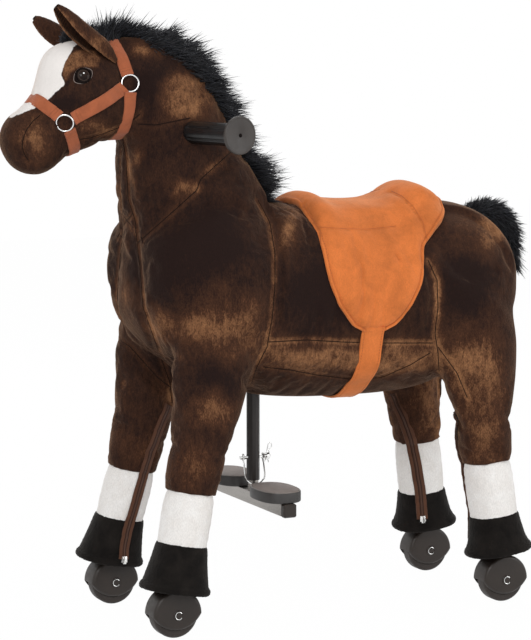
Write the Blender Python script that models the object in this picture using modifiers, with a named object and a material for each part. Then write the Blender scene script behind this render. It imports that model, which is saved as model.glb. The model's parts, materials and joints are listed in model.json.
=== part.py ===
"""Ride-on plush horse on a sprung steel frame with four hooded wheels.

Metres, +Z up. The horse faces -Y and its left side is +X. The two pairs of legs hang on hip shafts under the
spine. They swing apart when the rider bounces on the stirrup bar, and two springs draw them together again.
"""

import math

import bmesh
import bpy
from mathutils import Matrix, Vector
from mathutils.bvhtree import BVHTree

FRONT, HIND = -1, 1
LEFT, RIGHT = 1, -1
X_AXIS = Vector((1, 0, 0))
Y_AXIS = Vector((0, 1, 0))
Z_AXIS = Vector((0, 0, 1))

# Sizes are written with Y = 0 at the middle of the wheel base, which lies this far behind the toy's middle.
BASE_MIDDLE_Y = 0.0465

# Clearance between pieces that touch, and how deep cloth is laid before its underside is trimmed.
GAP = 0.0003
CLOTH_SINK = 0.0015
RAY_REACH = 0.4
LIMB_REACH = 0.2

# Wheels and their hooded forks.
WHEEL_BASE = 0.548
TRACK = 0.240
WHEEL_RADIUS = 0.035
WHEEL_WIDTH = 0.027
WHEEL_SIDES = 16
TREAD_ROUND = 0.009
RIM_RADIUS = 0.023
RIM_RECESS = 0.004
HUB_RADIUS = 0.011
AXLE_RADIUS = 0.004
AXLE_CAP_RADIUS = 0.0075
AXLE_CAP_HEIGHT = 0.002
HOOD_WALL = 0.0034
WHEEL_TO_HOOD = 0.0016
CHEEK_WALL = 0.005
CHEEK_DROP = 0.019
FORK_EDGE = 0.0025
SOCKET_WALL = 0.0035
SOCKET_TOP = 0.074
SOCKET_FLOOR = 0.003

# Steel frame.
HIP_BELOW_BACK = 0.085
FRONT_PIVOT_Y = -0.190
HIND_PIVOT_Y = 0.215
EYE_X = 0.096
EYE_RADIUS = 0.0165
EYE_WIDTH = 0.024
HIP_SHAFT_RADIUS = 0.006
SHAFT_HEAD_RADIUS = 0.010
SHAFT_HEAD_HEIGHT = 0.005
NUT_HEIGHT = 0.006
BUSH_WALL = 0.0025
BUSH_THRUST = 0.003
HOUSING_WALL = 0.005
LEG_TUBE_RADIUS = 0.011
CROSSBAR_DROP = 0.070
CROSSBAR_RADIUS = 0.005
BEAM_SIDE = 0.030
BEAM_WALL = 0.0025
BEAM_SINK = 0.006
BEAM_OVERHANG = 0.026
SEAT_BOARD_WIDTH = 0.092
SEAT_BOARD_LENGTH = 0.230
SEAT_BOARD_THICKNESS = 0.012
SEAT_BOARD_Y = 0.055
NECK_POST_RADIUS = 0.0125
NECK_POST_FOOT_Y = -0.150
NECK_POST_TOP_Z = 0.790
SPRING_COIL_RADIUS = 0.010
SPRING_WIRE_RADIUS = 0.0014
SPRING_TURNS = 6
SPRING_POINTS_A_TURN = 8
SPRING_LENGTH = 0.070
ANCHOR_RADIUS = 0.004
LUG_THICKNESS = 0.004
LUG_WIDTH = 0.016
LUG_DROP = 0.008

# Handle.
HANDLE_Y = -0.235
HANDLE_Z = 0.728
HANDLE_BEND_X = 0.035
HANDLE_SWEEP = math.radians(13.8)
HANDLE_BAR_RADIUS = 0.008
GRIP_START = 0.046
GRIP_LENGTH = 0.113
GRIP_RADIUS = 0.0165
GRIP_GROOVES = 6
GRIP_GROOVE_RADIUS = 0.0030
GRIP_GROOVE_DEPTH = 0.0016
GRIP_GROOVE_MARGIN = 0.006
GRIP_SIDES = 14
GRIP_DISC_RADIUS = 0.0275
GRIP_DISC_THICKNESS = 0.0055
GRIP_DISC_ROUND = 0.0015
GRIP_END_WALL = 0.008

# Stirrup.
STIRRUP_Y = -0.090
SLEEVE_RADIUS = 0.010
SLEEVE_WALL = 0.0015
SLEEVE_FOOT_Z = 0.197
STEM_TOP_Z = 0.300
BAR_SIDE = 0.019
BAR_WALL = 0.002
BAR_TOP_Z = 0.181
BAR_LENGTH = 0.236
CAP_THICKNESS = 0.012
CAP_LIP = 0.001
PEDAL_HALF_LENGTH = 0.048
PEDAL_HALF_WIDTH = 0.032
PEDAL_THICKNESS = 0.016
PEDAL_RIM = 0.005
PEDAL_TREAD_DEPTH = 0.002
PEDAL_CENTRE_X = 0.078
PIN_Z = 0.232
PIN_RADIUS = 0.003
PIN_REACH = 0.021
PIN_HEAD_RADIUS = 0.0062
PIN_HEAD_LENGTH = 0.006
BAIL_WIRE_RADIUS = 0.0013
BAIL_HALF_WIDTH = 0.0165
BAIL_DROP = 0.042
BAIL_LEAN = math.radians(15)

# Plush barrel. A station is: place along Y, top, bottom and half width.
BACK_Z = 0.600
BELLY_Z = 0.326
BARREL_HALF_WIDTH = 0.128
BARREL = (
    (-0.292, BACK_Z - 0.020, BELLY_Z + 0.140, BARREL_HALF_WIDTH - 0.050),
    (-0.272, BACK_Z + 0.020, BELLY_Z + 0.085, BARREL_HALF_WIDTH),
    (-0.190, BACK_Z + 0.040, BELLY_Z + 0.036, BARREL_HALF_WIDTH + 0.023),
    (-0.090, BACK_Z + 0.018, BELLY_Z + 0.004, BARREL_HALF_WIDTH + 0.004),
    (0.060, BACK_Z - 0.004, BELLY_Z, BARREL_HALF_WIDTH),
    (0.180, BACK_Z + 0.008, BELLY_Z + 0.002, BARREL_HALF_WIDTH + 0.014),
    (0.270, BACK_Z + 0.004, BELLY_Z + 0.050, BARREL_HALF_WIDTH + 0.008),
    (0.328, BACK_Z - 0.060, BELLY_Z + 0.105, BARREL_HALF_WIDTH - 0.048),
)
LEG_BAY_HALF_WIDTH = 0.1165
LEG_BAY_AHEAD = 0.0535
MIDDLE_BAY_AHEAD = 0.061
LEG_BAY_BEHIND = 0.050
LEG_BAY_HEADROOM = 0.004
MIDDLE_BAY_HALF_WIDTH = 0.054
BELLY_PANEL_THICKNESS = 0.014
LEG_TO_BELLY_X = 0.0585

# A station of a limb is: distance up from the hub, half depth, shift forward, half width, shift outward.
FORELEG_HALF_WIDTH = 0.038
FORELEG_HALF_DEPTH = 0.0365
FORELEG = (
    (0.178, FORELEG_HALF_DEPTH, -0.001, FORELEG_HALF_WIDTH, 0.000),
    (0.245, FORELEG_HALF_DEPTH + 0.005, -0.004, FORELEG_HALF_WIDTH + 0.003, 0.002),
    (0.310, FORELEG_HALF_DEPTH + 0.014, -0.006, FORELEG_HALF_WIDTH + 0.005, 0.004),
    (0.400, FORELEG_HALF_DEPTH + 0.033, -0.008, FORELEG_HALF_WIDTH + 0.007, 0.006),
)
HINDLEG_HALF_WIDTH = 0.036
HINDLEG_HALF_DEPTH = 0.0345
HINDLEG = (
    (0.178, HINDLEG_HALF_DEPTH, -0.001, HINDLEG_HALF_WIDTH, 0.000),
    (0.255, HINDLEG_HALF_DEPTH + 0.009, -0.004, HINDLEG_HALF_WIDTH + 0.003, 0.002),
    (0.318, HINDLEG_HALF_DEPTH + 0.022, -0.002, HINDLEG_HALF_WIDTH + 0.007, 0.005),
    (0.400, HINDLEG_HALF_DEPTH + 0.036, 0.001, HINDLEG_HALF_WIDTH + 0.010, 0.008),
)
LIMB_JOINT_RADIUS = 0.135
LIMB_JOINT_GAP = 0.0008
LEG_SWING = math.radians(10)
SWING_MARGIN = math.radians(2)
SOCKET_OF_LIMB_AHEAD = math.radians(31)
SOCKET_OF_LIMB_BEHIND = math.radians(38)
SOCK_FOOT = 0.098
CUFF_FOOT = 0.036
CUFF_WALL = 0.006
CUFF_FLARE = 0.015

# Neck. A station is: front, back, height and half width.
NECK = (
    (-0.290, -0.044, 0.566, 0.104),
    (-0.300, -0.054, 0.625, 0.096),
    (-0.301, -0.092, 0.690, 0.074),
    (-0.298, -0.124, 0.755, 0.062),
    (-0.318, -0.186, 0.832, 0.051),
    (-0.330, -0.234, 0.862, 0.034),
)
# Head. Its line runs from the back of the head to the muzzle. A station is: place along it, up, down, half width.
HEAD_BACK = Vector((0, -0.292, 0.800))
HEAD_PITCH = math.radians(29)
HEAD = (
    (-0.008, 0.048, 0.062, 0.040),
    (0.030, 0.082, 0.070, 0.056),
    (0.070, 0.096, 0.056, 0.061),
    (0.108, 0.073, 0.048, 0.050),
    (0.140, 0.048, 0.040, 0.040),
    (0.172, 0.052, 0.050, 0.049),
    (0.203, 0.036, 0.038, 0.036),
)
EAR_ROOT = Vector((0.038, -0.342, 0.842))
EAR_TIP = Vector((0.045, -0.417, 0.903))
EAR_HALF_WIDTH = 0.016
EAR_HALF_DEPTH = 0.0165
EAR_STATIONS = ((-0.2, 0.9, 1.0), (0.15, 1.0, 1.1), (0.5, 0.9, 0.95), (0.8, 0.6, 0.6), (1, 0.25, 0.2))
EYE_PLACE = Vector((0.053, -0.384, 0.811))
EYE_BALL_RADIUS = 0.012

# Mane and tail. A station is: outer point (Y, Z), inner point (Y, Z) and half width.
MANE = (
    ((-0.352, 0.902), (-0.350, 0.860), 0.012),
    ((-0.290, 0.908), (-0.292, 0.842), 0.019),
    ((-0.223, 0.882), (-0.240, 0.815), 0.024),
    ((-0.150, 0.808), (-0.182, 0.765), 0.026),
    ((-0.090, 0.735), (-0.130, 0.705), 0.025),
    ((-0.050, 0.668), (-0.088, 0.640), 0.021),
    ((-0.040, 0.632), (-0.062, 0.612), 0.010),
)
TAIL = (
    ((0.270, 0.604), (0.264, 0.572), 0.013),
    ((0.312, 0.613), (0.298, 0.560), 0.020),
    ((0.352, 0.614), (0.326, 0.545), 0.023),
    ((0.384, 0.572), (0.338, 0.530), 0.024),
    ((0.388, 0.525), (0.344, 0.506), 0.018),
    ((0.376, 0.488), (0.362, 0.480), 0.006),
)

# Saddle. A station is: angle from the top, front edge and back edge.
SADDLE = (
    (0, -0.030, 0.192),
    (16, -0.031, 0.202),
    (30, -0.033, 0.200),
    (42, -0.034, 0.172),
    (54, -0.035, 0.140),
    (66, -0.034, 0.134),
    (78, -0.027, 0.130),
    (90, -0.012, 0.110),
    (100, 0.010, 0.082),
    (106, 0.028, 0.060),
)
SADDLE_AXIS_Z = 0.470
SADDLE_STEPS_ALONG = 10
SADDLE_THICKNESS = 0.008
POMMEL_Y = -0.010
POMMEL_HEIGHT = 0.010
POMMEL_SPREAD = 0.022
CANTLE_Y = 0.166
CANTLE_HEIGHT = 0.022
CANTLE_SPREAD = 0.036
SADDLE_HEM = 0.0035
GIRTH_WIDTH = 0.036
GIRTH_THICKNESS = 0.003
GIRTH_Y = 0.045

# Halter.
STRAP_WIDTH = 0.018
STRAP_THICKNESS = 0.0022
NOSEBAND_PLACE = 0.128
CROWN_Y = -0.317
CROWN_Z = 0.785
NOSE_RING = Vector((0.060, -0.411, 0.746))
CHEEK_RING = Vector((0.070, -0.317, 0.798))

COLOURS = {
    "brown_plush": ((0.085, 0.036, 0.018), 0.85, 0.0),
    "white_plush": ((0.82, 0.79, 0.75), 0.9, 0.0),
    "black_plush": ((0.012, 0.011, 0.011), 0.9, 0.0),
    "black_fur": ((0.010, 0.010, 0.013), 0.7, 0.0),
    "orange_felt": ((0.78, 0.25, 0.055), 0.9, 0.0),
    "webbing": ((0.50, 0.15, 0.055), 0.8, 0.0),
    "black_plastic": ((0.030, 0.027, 0.026), 0.45, 0.0),
    "tread": ((0.045, 0.040, 0.038), 0.6, 0.0),
    "bright_steel": ((0.75, 0.75, 0.76), 0.25, 1.0),
    "black_steel": ((0.022, 0.019, 0.018), 0.4, 0.5),
    "plywood": ((0.62, 0.45, 0.27), 0.7, 0.0),
    "eye": ((0.015, 0.010, 0.008), 0.08, 0.0),
}

# Sizes that follow from those above.
PIVOT_Z = BACK_Z - HIP_BELOW_BACK
WELL_RADIUS = WHEEL_RADIUS + WHEEL_TO_HOOD
HOOD_RADIUS = WELL_RADIUS + HOOD_WALL
WELL_WIDTH = WHEEL_WIDTH + 2 * WHEEL_TO_HOOD
FORK_WIDTH = WELL_WIDTH + 2 * CHEEK_WALL
LEG_TUBE_FOOT = HOOD_RADIUS + SOCKET_FLOOR
SOCKET_RADIUS = LEG_TUBE_RADIUS + GAP + SOCKET_WALL
BUSH_RADIUS = HIP_SHAFT_RADIUS + GAP + BUSH_WALL
HOUSING_RADIUS = BUSH_RADIUS + GAP + HOUSING_WALL
HOUSING_HALF_LENGTH = EYE_X - EYE_WIDTH / 2 - BUSH_THRUST - GAP
BEAM_BOTTOM = PIVOT_Z + HOUSING_RADIUS - BEAM_SINK
BEAM_TOP = BEAM_BOTTOM + BEAM_SIDE
BOARD_TOP = BEAM_TOP + GAP + SEAT_BOARD_THICKNESS
STEM_RADIUS = SLEEVE_RADIUS - SLEEVE_WALL - GAP
PEDAL_TOP = BAR_TOP_Z + GAP + PEDAL_THICKNESS


def clear_scene():
    for old in list(bpy.data.objects):
        bpy.data.objects.remove(old, do_unlink=True)


def new_collection(name):
    made = bpy.data.collections.new(name)
    bpy.context.scene.collection.children.link(made)
    return made


def new_material(name):
    colour, roughness, metallic = COLOURS[name]
    made = bpy.data.materials.new(name)
    made.use_nodes = True
    shader = made.node_tree.nodes["Principled BSDF"]
    shader.inputs["Base Color"].default_value = (*colour, 1)
    shader.inputs["Roughness"].default_value = roughness
    shader.inputs["Metallic"].default_value = metallic
    return made


def new_carrier(name, place, parent=None):
    """An empty on a joint's axis, which carries the pieces that turn there."""
    made = bpy.data.objects.new(name, None)
    bpy.context.scene.collection.objects.link(made)
    made.location = place
    if parent:
        ride(made, parent)
    return made


def ride(obj, carrier):
    """Parents obj to carrier and leaves it where it is."""
    bpy.context.view_layer.update()
    obj.parent = carrier
    obj.matrix_parent_inverse = carrier.matrix_world.inverted()


def place_in(obj, collection):
    for old in list(obj.users_collection):
        old.objects.unlink(obj)
    collection.objects.link(obj)


def as_part(obj, name, material, carrier):
    """Makes obj a named piece of the toy."""
    obj.name = name
    obj.data.name = name
    if obj.type == "MESH":
        obj.data.shade_smooth()
        obj.data.set_sharp_from_angle(angle=math.radians(40))
    obj.data.materials.clear()
    obj.data.materials.append(MATERIALS[material])
    ride(obj, carrier)
    place_in(obj, PARTS)
    return obj


def as_cutter(obj, name):
    """Makes obj a helper that only shapes other pieces."""
    obj.name = name
    obj.hide_render = True
    obj.display_type = "WIRE"
    place_in(obj, CUTTERS)
    return obj


def mesh_object(name, bm):
    bmesh.ops.recalc_face_normals(bm, faces=bm.faces)
    mesh = bpy.data.meshes.new(name)
    bm.to_mesh(mesh)
    bm.free()
    obj = bpy.data.objects.new(name, mesh)
    bpy.context.scene.collection.objects.link(obj)
    return obj


def boolean(target, other, operation="DIFFERENCE"):
    if not other.hide_render:
        as_cutter(other, f"{operation.lower()} of {target.name}")
    step = target.modifiers.new(other.name, "BOOLEAN")
    step.operation = operation
    step.object = other
    return target


def bevel(obj, width, segments=1, angle=40):
    step = obj.modifiers.new("bevel", "BEVEL")
    step.width = width
    step.segments = segments
    step.limit_method = "ANGLE"
    step.angle_limit = math.radians(angle)
    return obj


def evaluated_bmesh(obj):
    """The mesh of obj as its modifiers leave it, welded and in world space."""
    bpy.context.view_layer.update()
    graph = bpy.context.evaluated_depsgraph_get()
    mesh = bpy.data.meshes.new_from_object(obj.evaluated_get(graph))
    bm = bmesh.new()
    bm.from_mesh(mesh)
    bpy.data.meshes.remove(mesh)
    bm.transform(obj.matrix_world)
    bmesh.ops.remove_doubles(bm, verts=bm.verts, dist=0.00002)
    return bm


def swollen(obj, name, swell=GAP):
    """A copy of obj whose surface stands off by swell, as a cutter for what touches obj."""
    bm = evaluated_bmesh(obj)
    bm.normal_update()
    for vert, normal in [(v, v.normal.copy()) for v in bm.verts]:
        vert.co += normal * swell
    return as_cutter(mesh_object(name, bm), name)


def filled_out(form, name):
    """The form as a mesh of triangles, so that all copies of it have exactly the same surface."""
    bm = evaluated_bmesh(form)
    bmesh.ops.triangulate(bm, faces=bm.faces)
    bpy.data.objects.remove(form, do_unlink=True)
    return as_cutter(mesh_object(name, bm), name)


def settled(obj):
    """Turns obj and its modifiers into a plain mesh object."""
    made = mesh_object(obj.name, evaluated_bmesh(obj))
    bpy.data.objects.remove(obj, do_unlink=True)
    return made


def aim(obj, direction):
    """Turns obj's own Z along direction."""
    obj.rotation_mode = "QUATERNION"
    obj.rotation_quaternion = Vector(direction).to_track_quat("Z", "Y")
    return obj


def rod(start, end, radius, sides=12):
    """A straight round bar."""
    start, end = Vector(start), Vector(end)
    length = (end - start).length
    bpy.ops.mesh.primitive_cylinder_add(vertices=sides, radius=radius, depth=length, location=(start + end) / 2)
    return aim(bpy.context.object, end - start)


def block(low, high):
    low, high = Vector(low), Vector(high)
    bpy.ops.mesh.primitive_cube_add(size=1, location=(low + high) / 2)
    made = bpy.context.object
    made.data.transform(Matrix.Diagonal((*(high - low), 1)))
    return made


def turned(profile, centre, axis, sides=16, closed=False):
    """A turned solid. The profile's points are (place along the axis, radius), down the outer side."""
    bm = bmesh.new()
    verts = [bm.verts.new((radius, 0, along)) for along, radius in profile]
    for a, b in zip(verts, verts[1:]):
        bm.edges.new((a, b))
    if closed:
        bm.edges.new((verts[-1], verts[0]))
    mesh = bpy.data.meshes.new("turned")
    bm.to_mesh(mesh)
    bm.free()
    made = bpy.data.objects.new("turned", mesh)
    bpy.context.scene.collection.objects.link(made)
    spin = made.modifiers.new("spin", "SCREW")
    spin.steps = spin.render_steps = sides
    spin.use_merge_vertices = True
    spin.merge_threshold = 0.00001
    made.location = centre
    return aim(made, axis)


def wire(points, radius, resolution=1):
    """A round wire through points, with flat ends."""
    curve = bpy.data.curves.new("wire", "CURVE")
    curve.dimensions = "3D"
    curve.bevel_depth = radius
    curve.bevel_resolution = resolution
    curve.use_fill_caps = True
    spline = curve.splines.new("POLY")
    spline.points.add(len(points) - 1)
    for place, point in zip(spline.points, points):
        place.co = (*point, 1)
    made = bpy.data.objects.new("wire", curve)
    bpy.context.scene.collection.objects.link(made)
    return made


def plate(outline, thickness, centre, normal="X"):
    """A flat plate with an outline in the plane square to normal, X or Z."""
    curve = bpy.data.curves.new("plate", "CURVE")
    curve.dimensions = "2D"
    curve.fill_mode = "BOTH"
    curve.extrude = thickness / 2
    spline = curve.splines.new("POLY")
    spline.points.add(len(outline) - 1)
    for place, (across, up) in zip(spline.points, outline):
        place.co = (across, up, 0, 1)
    spline.use_cyclic_u = True
    made = bpy.data.objects.new("plate", curve)
    bpy.context.scene.collection.objects.link(made)
    if normal == "X":
        made.matrix_world = Matrix(((0, 0, 1, 0), (1, 0, 0, 0), (0, 1, 0, 0), (0, 0, 0, 1)))
    made.location = centre
    return settled(made)


def arc(radius, start, end, steps, centre=(0, 0)):
    """Points along an arc, with angles in radians."""
    points = []
    for step in range(steps + 1):
        angle = start + (end - start) * step / steps
        points.append((centre[0] + radius * math.cos(angle), centre[1] + radius * math.sin(angle)))
    return points


def oval(centre, across, upward, half_across, reach_up, reach_down, count=8, fullness=2.3):
    """Cage points of one section, set out a little because subdivision draws them in."""
    swell = 3 / (2 + math.cos(2 * math.pi / count))
    points = []
    for step in range(count):
        angle = 2 * math.pi * (step + 0.5) / count
        c, s = math.cos(angle), math.sin(angle)
        reach = reach_up if s > 0 else reach_down
        x = math.copysign(abs(c) ** (2 / fullness), c) * half_across * swell
        z = math.copysign(abs(s) ** (2 / fullness), s) * reach * swell
        points.append(centre + across * x + upward * z)
    return points


def soft_form(rings, flat_ends=False):
    """A stuffed form through oval sections, from a coarse cage with Subdivision Surface."""
    bm = bmesh.new()
    crease = bm.edges.layers.float.new("crease_edge")
    loops = [[bm.verts.new(point) for point in ring] for ring in rings]
    for low, high in zip(loops, loops[1:]):
        for i in range(len(low)):
            j = (i + 1) % len(low)
            bm.faces.new((low[i], low[j], high[j], high[i]))
    for loop in (loops[0], loops[-1]):
        cap = bm.faces.new(loop)
        for edge in cap.edges:
            edge[crease] = 1.0 if flat_ends else 0.0
    made = mesh_object("form", bm)
    smooth = made.modifiers.new("subdivision", "SUBSURF")
    smooth.levels = smooth.render_levels = 1
    return made


def surface_of(*objects):
    """The surface of some pieces, for laying cloth and straps on."""
    whole = bmesh.new()
    for obj in objects:
        bm = evaluated_bmesh(obj)
        mesh = bpy.data.meshes.new("surface")
        bm.to_mesh(mesh)
        bm.free()
        whole.from_mesh(mesh)
        bpy.data.meshes.remove(mesh)
    tree = BVHTree.FromBMesh(whole)
    whole.free()
    return tree


def laid_cloth(tree, rows, thickness, closed=False):
    """A closed body of cloth on a surface, sunk a little in it, so that a cutter can trim its underside.

    Each row holds (outside point, direction inward) pairs. thickness is a size, or a function of the row and
    the place in it.
    """
    inner, outer = [], []
    for r, row in enumerate(rows):
        under, over = [], []
        for i, (start, direction) in enumerate(row):
            hit, normal, _, _ = tree.ray_cast(start, direction)
            if hit is None:
                hit, normal, _, _ = tree.find_nearest(start)
            if normal.dot(direction) > 0:
                normal = -normal
            depth = thickness(r, i) if callable(thickness) else thickness
            under.append(hit - normal * CLOTH_SINK)
            over.append(hit + normal * (GAP + depth))
        inner.append(under)
        outer.append(over)
    bm = bmesh.new()
    inner = [[bm.verts.new(p) for p in line] for line in inner]
    outer = [[bm.verts.new(p) for p in line] for line in outer]
    count = len(rows)
    steps = range(count if closed else count - 1)
    for r in steps:
        s = (r + 1) % count
        for i in range(len(rows[0]) - 1):
            bm.faces.new((outer[r][i], outer[r][i + 1], outer[s][i + 1], outer[s][i]))
            bm.faces.new((inner[r][i], inner[s][i], inner[s][i + 1], inner[r][i + 1]))
        for i in (0, -1):
            bm.faces.new((inner[r][i], outer[r][i], outer[s][i], inner[s][i]))
    if not closed:
        for r in (0, -1):
            for i in range(len(rows[0]) - 1):
                bm.faces.new((inner[r][i], inner[r][i + 1], outer[r][i + 1], outer[r][i]))
    return mesh_object("cloth", bm)


def table(rows, place):
    """The values of rows at place, each row being (place, value, ...), by straight lines between rows."""
    for low, high in zip(rows, rows[1:]):
        if place <= high[0]:
            share = (place - low[0]) / (high[0] - low[0])
            return [a + (b - a) * share for a, b in zip(low[1:], high[1:])]
    return list(rows[-1][1:])


def pivot_y(end):
    return FRONT_PIVOT_Y if end == FRONT else HIND_PIVOT_Y


def hub(end, side):
    return Vector((side * TRACK / 2, end * WHEEL_BASE / 2, WHEEL_RADIUS))


def leg_direction(end, side):
    return (Vector((side * EYE_X, pivot_y(end), PIVOT_Z)) - hub(end, side)).normalized()


def leg_point(end, side, distance):
    """A point on the line from the wheel's hub to the hip."""
    return hub(end, side) + leg_direction(end, side) * distance


def leg_tube(end, side, foot, radius):
    top = Vector((side * EYE_X, pivot_y(end), PIVOT_Z))
    return rod(leg_point(end, side, foot), top, radius)


def limb_section(end, side, distance, half_depth, forward, half_width, outward, count=8):
    along = leg_direction(end, side)
    ahead = (-Y_AXIS - along * along.dot(-Y_AXIS)).normalized()
    across = along.cross(ahead)
    centre = leg_point(end, side, distance) + ahead * forward + X_AXIS * side * outward
    return oval(centre, across, ahead, half_width, half_depth, half_depth, count)


def make_wheel(end, side, name, carrier):
    half = WHEEL_WIDTH / 2
    bore = AXLE_RADIUS + GAP
    tread = arc(TREAD_ROUND, 0, math.pi / 2, 2, (half - TREAD_ROUND, WHEEL_RADIUS - TREAD_ROUND))
    face = [(half, bore), (half, HUB_RADIUS), (half - RIM_RECESS, RIM_RADIUS - 0.002), (half, RIM_RADIUS)]
    outside = face + tread
    profile = outside + [(-along, radius) for along, radius in reversed(outside)]
    made = turned(profile, hub(end, side), X_AXIS, WHEEL_SIDES, closed=True)
    as_part(made, name, "tread", carrier)


def make_fork(end, side, name, carrier):
    cheek_radius = (HOOD_RADIUS**2 + CHEEK_DROP**2) / (2 * CHEEK_DROP)
    reach = math.asin(HOOD_RADIUS / cheek_radius)
    low = arc(cheek_radius, -math.pi / 2 - reach, -math.pi / 2 + reach, 6, (0, cheek_radius - CHEEK_DROP))
    outline = arc(HOOD_RADIUS, 0, math.pi, 10) + low[1:-1]
    made = plate(outline, FORK_WIDTH, hub(end, side))
    bevel(made, FORK_EDGE, 1, 60)
    along = leg_direction(end, side)
    boss = rod(leg_point(end, side, WELL_RADIUS + 0.002), leg_point(end, side, SOCKET_TOP), SOCKET_RADIUS)
    boolean(made, boss, "UNION")
    middle = hub(end, side)
    half_well = X_AXIS * WELL_WIDTH / 2
    boolean(made, rod(middle - half_well, middle + half_well, WELL_RADIUS, 16))
    low = middle - Vector((WELL_WIDTH / 2, HOOD_RADIUS * 1.2, HOOD_RADIUS))
    boolean(made, block(low, middle + Vector((WELL_WIDTH / 2, HOOD_RADIUS * 1.2, 0))))
    bore_foot = leg_point(end, side, LEG_TUBE_FOOT - GAP)
    boolean(made, rod(bore_foot, bore_foot + along * SOCKET_TOP, LEG_TUBE_RADIUS + GAP))
    through = X_AXIS * FORK_WIDTH
    boolean(made, rod(middle - through, middle + through, AXLE_RADIUS + GAP, 12))
    as_part(made, name, "black_plastic", carrier)


def make_axle(end, side, name, carrier):
    face = FORK_WIDTH / 2 + GAP
    half = [(face + AXLE_CAP_HEIGHT, 0), (face + AXLE_CAP_HEIGHT, AXLE_CAP_RADIUS * 0.6)]
    half += [(face, AXLE_CAP_RADIUS), (face, AXLE_RADIUS)]
    profile = half + [(-along, radius) for along, radius in reversed(half)]
    as_part(turned(profile, hub(end, side), X_AXIS, 10), name, "bright_steel", carrier)


def make_leg_frame(end, name, carrier):
    """Two leg tubes with an eye on top of each, joined by a crossbar that the spring hooks on."""
    made = leg_tube(end, LEFT, LEG_TUBE_FOOT, LEG_TUBE_RADIUS)
    boolean(made, leg_tube(end, RIGHT, LEG_TUBE_FOOT, LEG_TUBE_RADIUS), "UNION")
    boolean(made, rod(crossbar_end(end, LEFT), crossbar_end(end, RIGHT), CROSSBAR_RADIUS, 12), "UNION")
    for side in (LEFT, RIGHT):
        inside = Vector((side * (EYE_X - EYE_WIDTH / 2), pivot_y(end), PIVOT_Z))
        outside = inside + X_AXIS * side * EYE_WIDTH
        boolean(made, rod(inside, outside, EYE_RADIUS), "UNION")
    reach = X_AXIS * (EYE_X + EYE_WIDTH)
    pivot = Vector((0, pivot_y(end), PIVOT_Z))
    boolean(made, rod(pivot - reach, pivot + reach, HIP_SHAFT_RADIUS + GAP))
    as_part(made, name, "black_steel", carrier)


def crossbar_end(end, side):
    distance = (Vector((side * EYE_X, pivot_y(end), PIVOT_Z)) - hub(end, side)).length - CROSSBAR_DROP
    return leg_point(end, side, distance)


def make_hip_shaft(end, name, carrier):
    face = EYE_X + EYE_WIDTH / 2 + GAP
    profile = [(face + SHAFT_HEAD_HEIGHT, 0), (face + SHAFT_HEAD_HEIGHT, SHAFT_HEAD_RADIUS)]
    profile += [(face, SHAFT_HEAD_RADIUS), (face, HIP_SHAFT_RADIUS)]
    profile += [(-face - NUT_HEIGHT, HIP_SHAFT_RADIUS), (-face - NUT_HEIGHT, 0)]
    made = turned(profile, (0, pivot_y(end), PIVOT_Z), X_AXIS, 20)
    as_part(made, name, "bright_steel", carrier)


def make_hip_nut(end, name, carrier):
    start = Vector((-EYE_X - EYE_WIDTH / 2 - GAP, pivot_y(end), PIVOT_Z))
    nut = rod(start, start - X_AXIS * NUT_HEIGHT, SHAFT_HEAD_RADIUS, 6)
    boolean(nut, rod(start + X_AXIS * NUT_HEIGHT, start - X_AXIS * 2 * NUT_HEIGHT, HIP_SHAFT_RADIUS + GAP))
    as_part(nut, name, "bright_steel", carrier)


def make_hip_bush(end, name, carrier):
    """A sleeve through the whole housing, whose ends stand out as thrust faces for the leg frame's eyes."""
    half = HOUSING_HALF_LENGTH + BUSH_THRUST
    bore = HIP_SHAFT_RADIUS + GAP
    profile = [(half, bore), (half, BUSH_RADIUS), (-half, BUSH_RADIUS), (-half, bore)]
    made = turned(profile, (0, pivot_y(end), PIVOT_Z), X_AXIS, 20, closed=True)
    as_part(made, name, "black_plastic", carrier)


def neck_post_point(z):
    """The neck post runs from the beam through the handlebar."""
    share = (z - BEAM_TOP) / (HANDLE_Z - BEAM_TOP)
    return Vector((0, NECK_POST_FOOT_Y + (HANDLE_Y - NECK_POST_FOOT_Y) * share, z))


def anchor_y(end):
    """Where the inner end of each spring hooks on."""
    return crossbar_end(end, LEFT).y - end * (SPRING_LENGTH + 2 * SPRING_COIL_RADIUS)


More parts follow.
